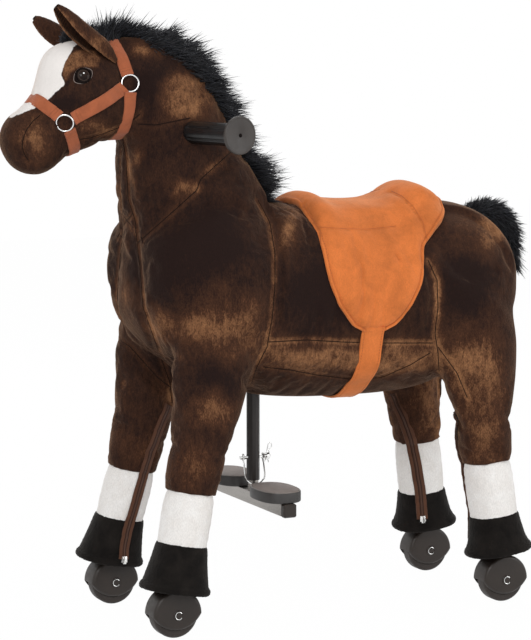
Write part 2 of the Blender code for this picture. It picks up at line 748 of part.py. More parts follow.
def make_spine_frame(carrier):
    front = FRONT_PIVOT_Y - BEAM_OVERHANG
    back = HIND_PIVOT_Y + BEAM_OVERHANG
    half = BEAM_SIDE / 2
    made = block((-half, front, BEAM_BOTTOM), (half, back, BEAM_TOP))
    hollow = half - BEAM_WALL
    inside = block((-hollow, front - half, BEAM_BOTTOM + BEAM_WALL), (hollow, back + half, BEAM_TOP - BEAM_WALL))
    boolean(made, inside)
    anchor_z = crossbar_end(FRONT, LEFT).z
    for end in (FRONT, HIND):
        pivot = Vector((0, pivot_y(end), PIVOT_Z))
        reach = X_AXIS * HOUSING_HALF_LENGTH
        boolean(made, rod(pivot - reach, pivot + reach, HOUSING_RADIUS), "UNION")
        anchor = Vector((0, anchor_y(end), anchor_z))
        lug_top = Vector((0, anchor.y, BEAM_BOTTOM + BEAM_WALL / 2))
        for side in (LEFT, RIGHT):
            out = X_AXIS * side * SPRING_COIL_RADIUS
            half_lug = Vector((LUG_THICKNESS / 2, LUG_WIDTH / 2, 0))
            ear = block(anchor + out - half_lug - Z_AXIS * LUG_DROP, lug_top + out + half_lug)
            boolean(made, ear, "UNION")
        out = X_AXIS * (SPRING_COIL_RADIUS + LUG_THICKNESS / 4)
        boolean(made, rod(anchor - out, anchor + out, ANCHOR_RADIUS, 12), "UNION")
    post_foot = neck_post_point(BEAM_TOP - BEAM_WALL / 2)
    boolean(made, rod(post_foot, neck_post_point(NECK_POST_TOP_Z), NECK_POST_RADIUS), "UNION")
    sleeve_foot = Vector((0, STIRRUP_Y, SLEEVE_FOOT_Z))
    boolean(made, rod(sleeve_foot, (0, STIRRUP_Y, BEAM_BOTTOM + BEAM_WALL / 2), SLEEVE_RADIUS), "UNION")
    boolean(made, rod(sleeve_foot - Z_AXIS * 0.01, (0, STIRRUP_Y, BEAM_BOTTOM - 0.02), SLEEVE_RADIUS - SLEEVE_WALL))
    for end in (FRONT, HIND):
        pivot = Vector((0, pivot_y(end), PIVOT_Z))
        reach = X_AXIS * EYE_X
        boolean(made, rod(pivot - reach, pivot + reach, BUSH_RADIUS + GAP))
    handle = Vector((0, HANDLE_Y, HANDLE_Z))
    boolean(made, rod(handle - X_AXIS * 0.03, handle + X_AXIS * 0.03, HANDLE_BAR_RADIUS + GAP))
    boolean(made, pin_hole())
    as_part(made, "spine_frame", "black_steel", carrier)


def pin_hole():
    pin = Vector((0, STIRRUP_Y, PIN_Z))
    return rod(pin - Y_AXIS * 0.03, pin + Y_AXIS * 0.03, PIN_RADIUS + GAP, 16)


def make_seat_board(carrier):
    half = Vector((SEAT_BOARD_WIDTH / 2, SEAT_BOARD_LENGTH / 2, 0))
    middle = Vector((0, SEAT_BOARD_Y, BEAM_TOP + GAP))
    made = block(middle - half, middle + half + Z_AXIS * SEAT_BOARD_THICKNESS)
    as_part(bevel(made, 0.003), "seat_board", "plywood", carrier)


def make_spring(end, name, carrier):
    """A tension spring with a hook on the leg frame's crossbar and one on the spine's anchor."""
    z = crossbar_end(end, LEFT).z
    start = Vector((0, crossbar_end(end, LEFT).y, z))
    stop = Vector((0, anchor_y(end), z))
    inward = (stop - start).normalized()
    points = hook(start, -inward, CROSSBAR_RADIUS)[::-1]
    length = (stop - start).length
    margin = (length - SPRING_LENGTH) / 2
    total = SPRING_TURNS * SPRING_POINTS_A_TURN
    for step in range(total + 1):
        angle = 2 * math.pi * step / SPRING_POINTS_A_TURN
        along = start + inward * (margin + SPRING_LENGTH * step / total)
        radial = X_AXIS * math.sin(angle) + Z_AXIS * math.cos(angle)
        points.append(along + radial * SPRING_COIL_RADIUS)
    points += hook(stop, inward, ANCHOR_RADIUS)
    pitch = SPRING_LENGTH / SPRING_TURNS
    print(f"{name}: least gap between turns {(pitch - 2 * SPRING_WIRE_RADIUS) * 1000:.2f} mm")
    as_part(wire(points, SPRING_WIRE_RADIUS, 0), name, "bright_steel", carrier)


def hook(centre, outward, bar_radius):
    """Points of a hook over a bar along X, from the top of the coil round the far side of the bar."""
    reach = bar_radius + 2 * GAP + SPRING_WIRE_RADIUS
    points = []
    for step in range(6):
        angle = math.pi * step / 5
        points.append(centre + Z_AXIS * reach * math.cos(angle) + outward * reach * math.sin(angle))
    return points


def handlebar_points():
    """The bar is straight in the neck and swept back on both sides."""
    sweep = Vector((math.cos(HANDLE_SWEEP), math.sin(HANDLE_SWEEP), 0))
    bend = Vector((HANDLE_BEND_X, HANDLE_Y, HANDLE_Z))
    stop = bend + sweep * (GRIP_START + GRIP_LENGTH - GRIP_END_WALL - GAP)
    left = [bend, stop]
    right = [Vector((-p.x, p.y, p.z)) for p in left]
    return right[::-1] + left


def make_handlebar(carrier):
    as_part(settled(wire(handlebar_points(), HANDLE_BAR_RADIUS, 3)), "handlebar", "black_steel", carrier)


def make_grip(side, name, carrier):
    """A rubber grip with grooves along it and a guard disc at its outer end."""
    sweep = Vector((side * math.cos(HANDLE_SWEEP), math.sin(HANDLE_SWEEP), 0))
    root = Vector((side * HANDLE_BEND_X, HANDLE_Y, HANDLE_Z)) + sweep * GRIP_START
    bore = HANDLE_BAR_RADIUS + GAP
    disc_foot = GRIP_LENGTH - GRIP_DISC_THICKNESS
    profile = [(GRIP_LENGTH, 0), (GRIP_LENGTH, GRIP_DISC_RADIUS - GRIP_DISC_ROUND)]
    profile += [(GRIP_LENGTH - GRIP_DISC_ROUND, GRIP_DISC_RADIUS), (disc_foot, GRIP_DISC_RADIUS)]
    profile += [(disc_foot, GRIP_RADIUS), (0, GRIP_RADIUS), (0, bore)]
    profile += [(GRIP_LENGTH - GRIP_END_WALL, bore), (GRIP_LENGTH - GRIP_END_WALL, 0)]
    made = turned(profile, root, sweep, GRIP_SIDES)
    aside = sweep.cross(Z_AXIS)
    for groove in range(GRIP_GROOVES):
        angle = 2 * math.pi * (groove + 0.5) / GRIP_GROOVES
        outward = Z_AXIS * math.sin(angle) + aside * math.cos(angle)
        line = root + outward * (GRIP_RADIUS + GRIP_GROOVE_RADIUS - GRIP_GROOVE_DEPTH)
        foot = line + sweep * GRIP_GROOVE_MARGIN
        boolean(made, rod(foot, line + sweep * (disc_foot - GRIP_GROOVE_MARGIN), GRIP_GROOVE_RADIUS, 6))
    as_part(made, name, "black_plastic", carrier)


def make_stirrup_bar(carrier):
    """An open channel with the post's stem welded on its middle."""
    half = BAR_LENGTH / 2
    low = Vector((-half, STIRRUP_Y - BAR_SIDE / 2, BAR_TOP_Z - BAR_SIDE))
    high = Vector((half, STIRRUP_Y + BAR_SIDE / 2, BAR_TOP_Z))
    made = block(low, high)
    inside = BAR_SIDE / 2 - BAR_WALL
    groove_low = Vector((-half - 0.01, STIRRUP_Y - inside, BAR_TOP_Z - BAR_SIDE - 0.01))
    boolean(made, block(groove_low, (half + 0.01, STIRRUP_Y + inside, BAR_TOP_Z - BAR_WALL)))
    boolean(made, rod((0, STIRRUP_Y, BAR_TOP_Z - BAR_WALL / 2), (0, STIRRUP_Y, STEM_TOP_Z), STEM_RADIUS), "UNION")
    boolean(made, pin_hole())
    as_part(made, "stirrup_bar", "bright_steel", carrier)


def make_bar_cap(side, name, carrier):
    face = side * (BAR_LENGTH / 2 + GAP)
    far = face + side * CAP_THICKNESS
    lip = BAR_SIDE / 2 + CAP_LIP
    low = Vector((min(face, far), STIRRUP_Y - lip, BAR_TOP_Z - BAR_SIDE - CAP_LIP))
    made = block(low, (max(face, far), STIRRUP_Y + lip, BAR_TOP_Z))
    as_part(bevel(made, 2 * CAP_LIP), name, "black_plastic", carrier)


def pedal_outline(inset=0.0, count=20):
    points = []
    for step in range(count):
        angle = 2 * math.pi * step / count
        c, s = math.cos(angle), math.sin(angle)
        x = math.copysign(abs(c) ** 0.75, c) * (PEDAL_HALF_LENGTH - inset)
        y = math.copysign(abs(s) ** 0.85, s) * (PEDAL_HALF_WIDTH - inset)
        points.append((x, y))
    return points


def make_pedal(side, name, carrier):
    middle = Vector((side * PEDAL_CENTRE_X, STIRRUP_Y, PEDAL_TOP - PEDAL_THICKNESS / 2))
    made = plate(pedal_outline(), PEDAL_THICKNESS, middle, "Z")
    tread = Vector((middle.x, middle.y, PEDAL_TOP))
    boolean(made, plate(pedal_outline(PEDAL_RIM), 2 * PEDAL_TREAD_DEPTH, tread, "Z"))
    as_part(made, name, "black_plastic", carrier)


def make_lock_pin(carrier):
    profile = [(PIN_REACH + PIN_HEAD_LENGTH, 0), (PIN_REACH + PIN_HEAD_LENGTH, PIN_HEAD_RADIUS * 0.7)]
    profile += [(PIN_REACH + PIN_HEAD_LENGTH * 0.7, PIN_HEAD_RADIUS), (PIN_REACH, PIN_HEAD_RADIUS)]
    profile += [(PIN_REACH, PIN_RADIUS), (-PIN_REACH, PIN_RADIUS), (-PIN_REACH - 0.0015, PIN_RADIUS * 0.5)]
    profile += [(-PIN_REACH - 0.0015, 0)]
    made = turned(profile, (0, STIRRUP_Y, PIN_Z), Y_AXIS, 12)
    as_part(made, "lock_pin", "bright_steel", carrier)


def make_pin_bail(carrier):
    """A wire loop that hangs from both ends of the lock pin and leans on the post."""
    centre = Vector((0, STIRRUP_Y, PIN_Z))
    down = Vector((math.sin(BAIL_LEAN), 0, -math.cos(BAIL_LEAN)))
    out = Y_AXIS.cross(down)
    eye = PIN_RADIUS + GAP + BAIL_WIRE_RADIUS
    turn_start = BAIL_DROP - BAIL_HALF_WIDTH
    eye_loop = []
    for step in range(8):
        angle = math.radians(40 + 300 * step / 7)
        eye_loop.append((-out * math.sin(angle) + down * math.cos(angle)) * eye)
    back = [centre + Y_AXIS * BAIL_HALF_WIDTH + p for p in eye_loop]
    back.append(centre + Y_AXIS * BAIL_HALF_WIDTH + down * (2.4 * eye))
    front = [Vector((p.x, 2 * centre.y - p.y, p.z)) for p in back]
    bow = []
    for across, fall in arc(BAIL_HALF_WIDTH, 0, math.pi, 10, (0, turn_start)):
        bow.append(centre + Y_AXIS * across + down * fall)
    points = back + bow + front[::-1]
    as_part(wire(points, BAIL_WIRE_RADIUS, 0), "pin_bail", "bright_steel", carrier)


def barrel_form():
    rings = []
    for y, top, bottom, half_width in BARREL:
        middle = (top + bottom) / 2
        reach = (top - bottom) / 2
        rings.append(oval(Vector((0, y, middle)), X_AXIS, Z_AXIS, half_width, reach, reach, 12, 2.5))
    return soft_form(rings)


def limb_joint_cutter(end, side):
    """The space on one side under the hip in which a leg swings, as a sector outside the joint's round face."""
    lean = math.atan2(end * (hub(end, side).y - pivot_y(end)), PIVOT_Z - WHEEL_RADIUS)
    start = lean - SOCKET_OF_LIMB_BEHIND
    stop = lean + SOCKET_OF_LIMB_AHEAD + LEG_SWING + SWING_MARGIN
    radius = LIMB_JOINT_RADIUS - LIMB_JOINT_GAP
    outline = [(end * x, z) for x, z in arc(radius, start - math.pi / 2, stop - math.pi / 2, 16)]
    far = [(end * x, z) for x, z in arc(3 * radius, stop - math.pi / 2, start - math.pi / 2, 4)]
    centre = Vector((side * (LEG_TO_BELLY_X + LIMB_REACH / 2), pivot_y(end), PIVOT_Z))
    return as_cutter(plate(outline + far, LIMB_REACH, centre), f"leg swing space {end} {side}")


def bay_cutters():
    """The room inside the barrel: a narrow bay along it, and a wide one round the eyes of each pair of legs."""
    low = BELLY_Z - 0.05
    narrow = MIDDLE_BAY_HALF_WIDTH
    front, back = bay_ends()
    bays = [block((-narrow, front, low), (narrow, back, BOARD_TOP + GAP))]
    wide = LEG_BAY_HALF_WIDTH
    top = PIVOT_Z + EYE_RADIUS + LEG_BAY_HEADROOM
    for end in (FRONT, HIND):
        outward = pivot_y(end) + end * LEG_BAY_AHEAD
        inward = pivot_y(end) - end * LEG_BAY_BEHIND
        bays.append(block((-wide, min(outward, inward), low), (wide, max(outward, inward), top)))
    return bays


def bay_ends():
    return FRONT_PIVOT_Y - MIDDLE_BAY_AHEAD, HIND_PIVOT_Y + MIDDLE_BAY_AHEAD


def neck_post_channel():
    top = neck_post_point(NECK_POST_TOP_Z + GAP)
    return as_cutter(rod(neck_post_point(BEAM_TOP - 0.01), top, NECK_POST_RADIUS + GAP), "neck post channel")


def make_torso(form, carrier):
    made = mesh_object("torso", evaluated_bmesh(form))
    for cutter in bay_cutters():
        boolean(made, cutter)
    for end in (FRONT, HIND):
        for side in (LEFT, RIGHT):
            boolean(made, limb_joint_cutter(end, side))
    boolean(made, neck_post_channel())
    as_part(made, "torso", "brown_plush", carrier)


def make_belly_panel(form, carrier):
    """The zipped panel that closes the barrel from below, with a hole for the stirrup post."""
    made = mesh_object("belly_panel", evaluated_bmesh(form))
    half = MIDDLE_BAY_HALF_WIDTH - GAP
    front, back = bay_ends()
    strip = block((-half, front + GAP, BELLY_Z - 0.05), (half, back - GAP, PIVOT_Z - 0.09))
    boolean(made, strip, "INTERSECT")
    inside = mesh_object("inside of belly panel", evaluated_bmesh(form))
    inside.location = Z_AXIS * BELLY_PANEL_THICKNESS
    boolean(made, inside)
    hole = rod((0, STIRRUP_Y, BELLY_Z - 0.05), (0, STIRRUP_Y, PIVOT_Z), SLEEVE_RADIUS + GAP)
    boolean(made, hole)
    as_part(made, "belly_panel", "brown_plush", carrier)


def make_leg(end, side, name, carrier):
    stations = FORELEG if end == FRONT else HINDLEG
    made = soft_form([limb_section(end, side, *station) for station in stations], flat_ends=True)
    reach = X_AXIS * LIMB_REACH
    pivot = Vector((0, pivot_y(end), PIVOT_Z))
    boolean(made, rod(pivot - reach, pivot + reach, LIMB_JOINT_RADIUS, 64))
    boolean(made, leg_tube(end, side, 0, LEG_TUBE_RADIUS + GAP))
    as_part(made, name, "brown_plush", carrier)


def make_sock(end, side, name, carrier):
    _, half_depth, forward, half_width, outward = (FORELEG if end == FRONT else HINDLEG)[0]
    top = FORELEG[0][0] - GAP
    foot = SOCK_FOOT + GAP
    rings = []
    for distance in (foot, top):
        rings.append(limb_section(end, side, distance, half_depth, forward, half_width, outward))
    made = soft_form(rings, flat_ends=True)
    boolean(made, leg_tube(end, side, 0, LEG_TUBE_RADIUS + GAP))
    as_part(made, name, "white_plush", carrier)


def make_cuff(end, side, name, carrier):
    """A black hoof cuff: an open flared skirt with a rolled hem, closed round the tube at its top."""
    _, half_depth, forward, half_width, outward = (FORELEG if end == FRONT else HINDLEG)[0]
    skirt = ((SOCK_FOOT, 0.0), (0.070, 0.35), (CUFF_FOOT + 0.010, 1.1), (CUFF_FOOT, 1.0))
    outer, inner = [], []
    for distance, share in skirt:
        grow = share * CUFF_FLARE
        outer.append(limb_section(end, side, distance, half_depth + grow, forward, half_width + grow * 0.7, outward))
    for distance, share in ((SOCK_FOOT - CUFF_WALL, 0.0), (CUFF_FOOT - 0.01, 1.0)):
        grow = share * CUFF_FLARE - CUFF_WALL
        inner.append(limb_section(end, side, distance, half_depth + grow, forward, half_width + grow * 0.7, outward))
    made = soft_form(outer, flat_ends=True)
    boolean(made, soft_form(inner, flat_ends=True))
    boolean(made, leg_tube(end, side, 0, LEG_TUBE_RADIUS + GAP))
    as_part(made, name, "black_plush", carrier)


def neck_form():
    rings = []
    for front, back, z, half_width in NECK:
        reach = (back - front) / 2
        rings.append(oval(Vector((0, (front + back) / 2, z)), X_AXIS, -Y_AXIS, half_width, reach, reach, 10))
    return soft_form(rings)


def make_neck(form, torso_space, carrier):
    made = mesh_object("neck", evaluated_bmesh(form))
    boolean(made, torso_space)
    boolean(made, neck_post_channel())
    boolean(made, as_cutter(settled(wire(handlebar_points(), HANDLE_BAR_RADIUS + GAP, 3)), "handlebar channel"))
    as_part(made, "neck", "brown_plush", carrier)


def head_axes():
    ahead = Vector((0, -math.cos(HEAD_PITCH), -math.sin(HEAD_PITCH)))
    return ahead, Vector((0, -math.sin(HEAD_PITCH), math.cos(HEAD_PITCH)))


def head_form():
    ahead, upward = head_axes()
    rings = []
    for along, up, down, half_width in HEAD:
        rings.append(oval(HEAD_BACK + ahead * along, X_AXIS, upward, half_width, up, down, 12, 2.1))
    return soft_form(rings)


def make_head(form, neck_space, carrier):
    made = mesh_object("head", evaluated_bmesh(form))
    boolean(made, neck_space)
    as_part(made, "head", "brown_plush", carrier)


def make_ear(side, name, head_space, carrier):
    """A leaf-shaped ear that stands forward."""
    root = Vector((side * EAR_ROOT.x, EAR_ROOT.y, EAR_ROOT.z))
    tip = Vector((side * EAR_TIP.x, EAR_TIP.y, EAR_TIP.z))
    along = (tip - root).normalized()
    across = (X_AXIS * side - along * along.dot(X_AXIS * side)).normalized()
    forward = along.cross(across) * side
    rings = []
    for share, width, depth in EAR_STATIONS:
        centre = root.lerp(tip, share)
        half = width * EAR_HALF_WIDTH
        thick = depth * EAR_HALF_DEPTH
        rings.append(oval(centre, across, forward, half, thick, thick, 6, 2))
    made = boolean(soft_form(rings), head_space)
    as_part(made, name, "brown_plush", carrier)


def make_eye(side, name, head_space, carrier):
    place = (side * EYE_PLACE.x, EYE_PLACE.y, EYE_PLACE.z)
    bpy.ops.mesh.primitive_uv_sphere_add(segments=10, ring_count=6, radius=EYE_BALL_RADIUS, location=place)
    as_part(boolean(bpy.context.object, head_space), name, "eye", carrier)


def fur_form(stations):
    rings = []
    for outer, inner, half_width in stations:
        outer, inner = Vector((0, *outer)), Vector((0, *inner))
        upward = (outer - inner).normalized()
        reach = (outer - inner).length / 2
        rings.append(oval((outer + inner) / 2, X_AXIS, upward, half_width, reach, reach, 6, 2.2))
    return soft_form(rings)


def make_fur(stations, name, spaces, carrier):
    made = fur_form(stations)
    for space in spaces:
        boolean(made, space)
    as_part(made, name, "black_fur", carrier)


def saddle_ray(angle, y):
    """A ray from outside towards the barrel's long axis, at an angle from the top."""
    outward = Vector((math.sin(angle), 0, math.cos(angle)))
    return Vector((0, y, SADDLE_AXIS_Z)) + outward * RAY_REACH, -outward


def make_saddle(tree, torso_space, carrier):
    """A felt pad with a pommel roll, a dipped seat, a raised cantle and a rounded flap on each side."""
    angles = [-station[0] for station in reversed(SADDLE[1:])] + [station[0] for station in SADDLE]
    rows = []
    for angle in angles:
        front, back = table(SADDLE, abs(angle))
        line = []
        for step in range(SADDLE_STEPS_ALONG + 1):
            y = front + (back - front) * step / SADDLE_STEPS_ALONG
            line.append(saddle_ray(math.radians(angle), y))
        rows.append(line)

    def thickness(row, step):
        y = rows[row][step][0].y
        top = max(0.0, math.cos(math.radians(angles[row]) * 1.5))
        pommel = POMMEL_HEIGHT * math.exp(-(((y - POMMEL_Y) / POMMEL_SPREAD) ** 2))
        cantle = CANTLE_HEIGHT * math.exp(-(((y - CANTLE_Y) / CANTLE_SPREAD) ** 2))
        edge = step in (0, SADDLE_STEPS_ALONG) or row in (0, len(rows) - 1)
        base = SADDLE_HEM if edge else SADDLE_THICKNESS
        return base + top * (pommel + cantle) * (0.4 if edge else 1.0)

    as_part(boolean(laid_cloth(tree, rows, thickness), torso_space), "saddle", "orange_felt", carrier)


def make_girth(tree, torso_space, carrier):
    """The strap that runs from one flap under the belly to the other."""
    rows = []
    count = 18
    start = math.radians(SADDLE[-1][0]) + 2 * GAP / BARREL_HALF_WIDTH
    for step in range(count + 1):
        angle = start + (2 * math.pi - 2 * start) * step / count
        rows.append([saddle_ray(angle, GIRTH_Y + GIRTH_WIDTH * (i / 2 - 0.5)) for i in range(3)])
    as_part(boolean(laid_cloth(tree, rows, GIRTH_THICKNESS), torso_space), "girth", "orange_felt", carrier)


def strap_loop(tree, middle, upward, along, allowance=0.0, count=20):
    """A strap right round the head, in the plane square to along, larger by an allowance."""
    width = STRAP_WIDTH + 2 * allowance
    rows = []
    for step in range(count):
        angle = 2 * math.pi * step / count
        outward = X_AXIS * math.sin(angle) + upward * math.cos(angle)
        rows.append([(middle + along * width * (i - 0.5) + outward * RAY_REACH, -outward) for i in (1, 0)])
    return laid_cloth(tree, rows, STRAP_THICKNESS + allowance, closed=True)


def crown_strap(tree, allowance=0.0):
    return strap_loop(tree, Vector((0, CROWN_Y, CROWN_Z)), Z_AXIS, -Y_AXIS, allowance)


def cheek_strap(tree, side):
    """The strap from the nose ring to the cheek ring. It is a little thicker than the loops it is sewn to."""
    across = Vector((0, NOSE_RING.z - CHEEK_RING.z, CHEEK_RING.y - NOSE_RING.y)).normalized()
    rows = []
    for step in range(5):
        place = NOSE_RING.lerp(CHEEK_RING, step / 4)
        row = []
        for i in (-0.5, 0, 0.5):
            point = place + across * STRAP_WIDTH * i
            row.append((Vector((side * RAY_REACH, point.y, point.z)), -X_AXIS * side))
        rows.append(row)
    return laid_cloth(tree, rows, STRAP_THICKNESS + 2 * GAP)


def make_halter(tree, spaces, carrier):
    """Noseband, crown strap and cheek straps, sewn into one piece."""
    ahead, upward = head_axes()
    made = strap_loop(tree, HEAD_BACK + ahead * NOSEBAND_PLACE, upward, ahead)
    boolean(made, crown_strap(tree), "UNION")
    for side in (LEFT, RIGHT):
        boolean(made, cheek_strap(tree, side), "UNION")
    for space in spaces:
        boolean(made, space)
    as_part(made, "halter", "webbing", carrier)


def make_leg_pair(end, word, limb, carrier):
    make_leg_frame(end, f"{word}_leg_frame", carrier)
    for side, side_name in ((LEFT, "left"), (RIGHT, "right")):
        make_leg(end, side, f"{limb}_{side_name}", carrier)
        make_sock(end, side, f"{limb}_sock_{side_name}", carrier)
        make_cuff(end, side, f"{limb}_hoof_{side_name}", carrier)
        make_fork(end, side, f"{word}_fork_{side_name}", carrier)
        make_axle(end, side, f"{word}_axle_{side_name}", carrier)
        wheel_carrier = new_carrier(f"{word} {side_name} axle line", hub(end, side), carrier)
        make_wheel(end, side, f"{word}_wheel_{side_name}", wheel_carrier)


def make_horse():
    toy = new_carrier("horse", (0, 0, 0))
    make_spine_frame(toy)
    make_seat_board(toy)
    for end, word in ((FRONT, "front"), (HIND, "hind")):
        make_hip_shaft(end, f"{word}_hip_shaft", toy)
        make_hip_bush(end, f"{word}_hip_bush", toy)
        make_hip_nut(end, f"{word}_hip_nut", toy)
        make_spring(end, f"{word}_return_spring", toy)
    make_handlebar(toy)
    make_stirrup_bar(toy)
    for side, side_name in ((LEFT, "left"), (RIGHT, "right")):
        make_grip(side, f"grip_{side_name}", toy)
        make_bar_cap(side, f"bar_cap_{side_name}", toy)
        make_pedal(side, f"pedal_{side_name}", toy)
    make_lock_pin(toy)
    make_pin_bail(new_carrier("bail line", (0, STIRRUP_Y, PIN_Z), toy))
    for end, word, limb in ((FRONT, "front", "foreleg"), (HIND, "hind", "hindleg")):
        hip = new_carrier(f"{word} hip line", (0, pivot_y(end), PIVOT_Z), toy)
        make_leg_pair(end, word, limb, hip)
    barrel = filled_out(barrel_form(), "barrel form")
    torso_space = swollen(barrel, "torso space")
    make_torso(barrel, toy)
    make_belly_panel(barrel, toy)
    neck = filled_out(neck_form(), "neck form")
    neck_space = swollen(neck, "neck space")
    make_neck(neck, torso_space, toy)
    head = filled_out(head_form(), "head form")
    head_space = swollen(head, "head space")
    make_head(head, neck_space, toy)
    for side, side_name in ((LEFT, "left"), (RIGHT, "right")):
        make_ear(side, f"ear_{side_name}", head_space, toy)
        make_eye(side, f"eye_{side_name}", head_space, toy)
    halter_surface = surface_of(head, neck)
    make_halter(halter_surface, (head_space, neck_space), toy)
    strap_space = as_cutter(crown_strap(halter_surface, 2 * GAP), "crown strap space")
    make_fur(MANE, "mane", (head_space, neck_space, torso_space, strap_space), toy)
    make_fur(TAIL, "tail", (torso_space,), toy)
    barrel_surface = surface_of(barrel)
    make_saddle(barrel_surface, torso_space, toy)
    make_girth(barrel_surface, torso_space, toy)
    for cutter in CUTTERS.objects:
        ride(cutter, toy)
    toy.location = (0, BASE_MIDDLE_Y, 0)


clear_scene()
PARTS = new_collection("ride_on_horse")
CUTTERS = new_collection("cutters")
MATERIALS = {name: new_material(name) for name in COLOURS}
make_horse()
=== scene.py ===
"""Dressed model of a ride-on plush horse, laid out as an add-on with one operator for each kind of piece."""
import json
import math
import random

import bmesh
import bpy
import numpy as np
from mathutils import Matrix, Vector, noise
from mathutils.bvhtree import BVHTree
from mathutils.kdtree import KDTree


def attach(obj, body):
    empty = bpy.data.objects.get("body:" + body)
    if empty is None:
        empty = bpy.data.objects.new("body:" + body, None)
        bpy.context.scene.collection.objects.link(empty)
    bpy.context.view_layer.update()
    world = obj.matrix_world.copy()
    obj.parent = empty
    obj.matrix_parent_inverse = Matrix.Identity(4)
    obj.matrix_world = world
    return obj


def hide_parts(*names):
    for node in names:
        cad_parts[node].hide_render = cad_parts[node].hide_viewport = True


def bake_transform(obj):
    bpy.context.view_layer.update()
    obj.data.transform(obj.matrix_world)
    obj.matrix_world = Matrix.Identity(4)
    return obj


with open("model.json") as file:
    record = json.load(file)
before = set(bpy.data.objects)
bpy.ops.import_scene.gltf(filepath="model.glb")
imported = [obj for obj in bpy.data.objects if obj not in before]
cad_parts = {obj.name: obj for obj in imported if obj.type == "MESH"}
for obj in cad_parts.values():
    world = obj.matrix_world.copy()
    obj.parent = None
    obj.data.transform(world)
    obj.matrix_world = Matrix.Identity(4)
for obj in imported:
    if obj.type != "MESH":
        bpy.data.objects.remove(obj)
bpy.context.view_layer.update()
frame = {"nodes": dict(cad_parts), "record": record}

bl_info = {
    "name": "Ride-on Plush Horse",
    "version": (1, 0, 0),
    "blender": (4, 5, 0),
    "location": "3D View > Sidebar > Plush Horse",
    "description": "Dresses the packed ride-on horse in plush, fur, felt, webbing, plastic and metal",
    "category": "Object",
}

X_AXIS = Vector((1, 0, 0))
Y_AXIS = Vector((0, 1, 0))
Z_AXIS = Vector((0, 0, 1))
FRONT, HIND = -1, 1
LEFT, RIGHT = 1, -1
END_WORDS = {FRONT: "front", HIND: "hind"}
SIDE_WORDS = {LEFT: "left", RIGHT: "right"}
LIMB_WORDS = {FRONT: "foreleg", HIND: "hindleg"}
CORNERS = [(end, side) for end in (FRONT, HIND) for side in (LEFT, RIGHT)]
JOINTS = {joint["name"]: joint for joint in frame["record"]["behaviour"]["joints"]}


def wheel_joint(end, side):
    return JOINTS[f"{END_WORDS[end]}_{SIDE_WORDS[side]}_wheel_roll"]


def hub(end, side):
    return Vector(wheel_joint(end, side)["pos_m"])


def pivot(end):
    return Vector(JOINTS[f"{END_WORDS[end]}_legs_swing"]["pos_m"])


MIDDLE_Y = (hub(FRONT, LEFT).y + hub(HIND, LEFT).y) / 2
HIP_X = 0.096

# Plush forms. A barrel station is: place along Y from the middle of the wheels, top, bottom and half width.
BARREL = (
    (-0.292, 0.580, 0.466, 0.078),
    (-0.272, 0.620, 0.411, 0.128),
    (-0.190, 0.640, 0.362, 0.151),
    (-0.090, 0.618, 0.330, 0.132),
    (0.060, 0.596, 0.326, 0.128),
    (0.180, 0.608, 0.328, 0.142),
    (0.270, 0.604, 0.376, 0.136),
    (0.328, 0.540, 0.431, 0.080),
)
# A station of a limb is: distance up from the hub, half depth, shift forward, half width, shift outward.
FORELEG = (
    (0.176, 0.0350, -0.001, 0.0365, 0.000),
    (0.180, 0.0365, -0.001, 0.0380, 0.000),
    (0.245, 0.0415, -0.004, 0.0410, 0.002),
    (0.310, 0.0505, -0.006, 0.0430, 0.004),
    (0.385, 0.0660, -0.007, 0.0440, 0.004),
    (0.450, 0.0660, -0.004, 0.0360, -0.006),
    (0.500, 0.0500, 0.000, 0.0260, -0.018),
)
HINDLEG = (
    (0.184, 0.0355, -0.001, 0.0345, 0.000),
    (0.188, 0.0370, -0.001, 0.0360, 0.000),
    (0.245, 0.0415, -0.004, 0.0390, 0.002),
    (0.310, 0.0540, -0.003, 0.0430, 0.005),
    (0.385, 0.0680, 0.001, 0.0460, 0.007),
    (0.450, 0.0680, 0.004, 0.0380, -0.003),
    (0.500, 0.0500, 0.006, 0.0270, -0.016),
)
SOCK_TOP = 0.178
SOCK_FOOT = 0.098
CUFF_FOOT = 0.036
# Neck. A station is: front, back, height and half width.
NECK = (
    (-0.290, -0.050, 0.566, 0.104),
    (-0.300, -0.078, 0.625, 0.099),
    (-0.301, -0.124, 0.690, 0.088),
    (-0.298, -0.150, 0.755, 0.077),
    (-0.318, -0.199, 0.832, 0.055),
    (-0.330, -0.234, 0.862, 0.034),
)
# Head. A station is: place along its line, up, down and half width.
HEAD_BACK = (0, -0.292, 0.800)
HEAD_PITCH = math.radians(29)
HEAD = (
    (-0.008, 0.048, 0.062, 0.040),
    (0.030, 0.085, 0.070, 0.056),
    (0.068, 0.0985, 0.056, 0.061),
    (0.094, 0.093, 0.052, 0.056),
    (0.112, 0.073, 0.047, 0.049),
    (0.137, 0.051, 0.041, 0.042),
    (0.160, 0.0465, 0.048, 0.047),
    (0.184, 0.044, 0.0485, 0.048),
    (0.204, 0.031, 0.034, 0.035),
    (0.213, 0.013, 0.015, 0.016),
)
# The photograph's camera, for placing seams where they are seen.
CAMERA = Vector((3.50503, -1.68120, 0.91068))
CAMERA_TURN = math.radians(64.677)
CAMERA_PITCH = math.radians(6.9335)
FOCAL = 2592.84
IMAGE = (531, 640)

MADE = {}


def at(x, y, z):
    """A point whose Y is measured from the middle of the wheels."""
    return Vector((x, y + MIDDLE_Y, z))


def camera_axes():
    back = Vector((
        math.sin(CAMERA_TURN) * math.cos(CAMERA_PITCH),
        -math.cos(CAMERA_TURN) * math.cos(CAMERA_PITCH),
        math.sin(CAMERA_PITCH),
    ))
    right = Vector((math.cos(CAMERA_TURN), math.sin(CAMERA_TURN), 0))
    return right, back.cross(right), back


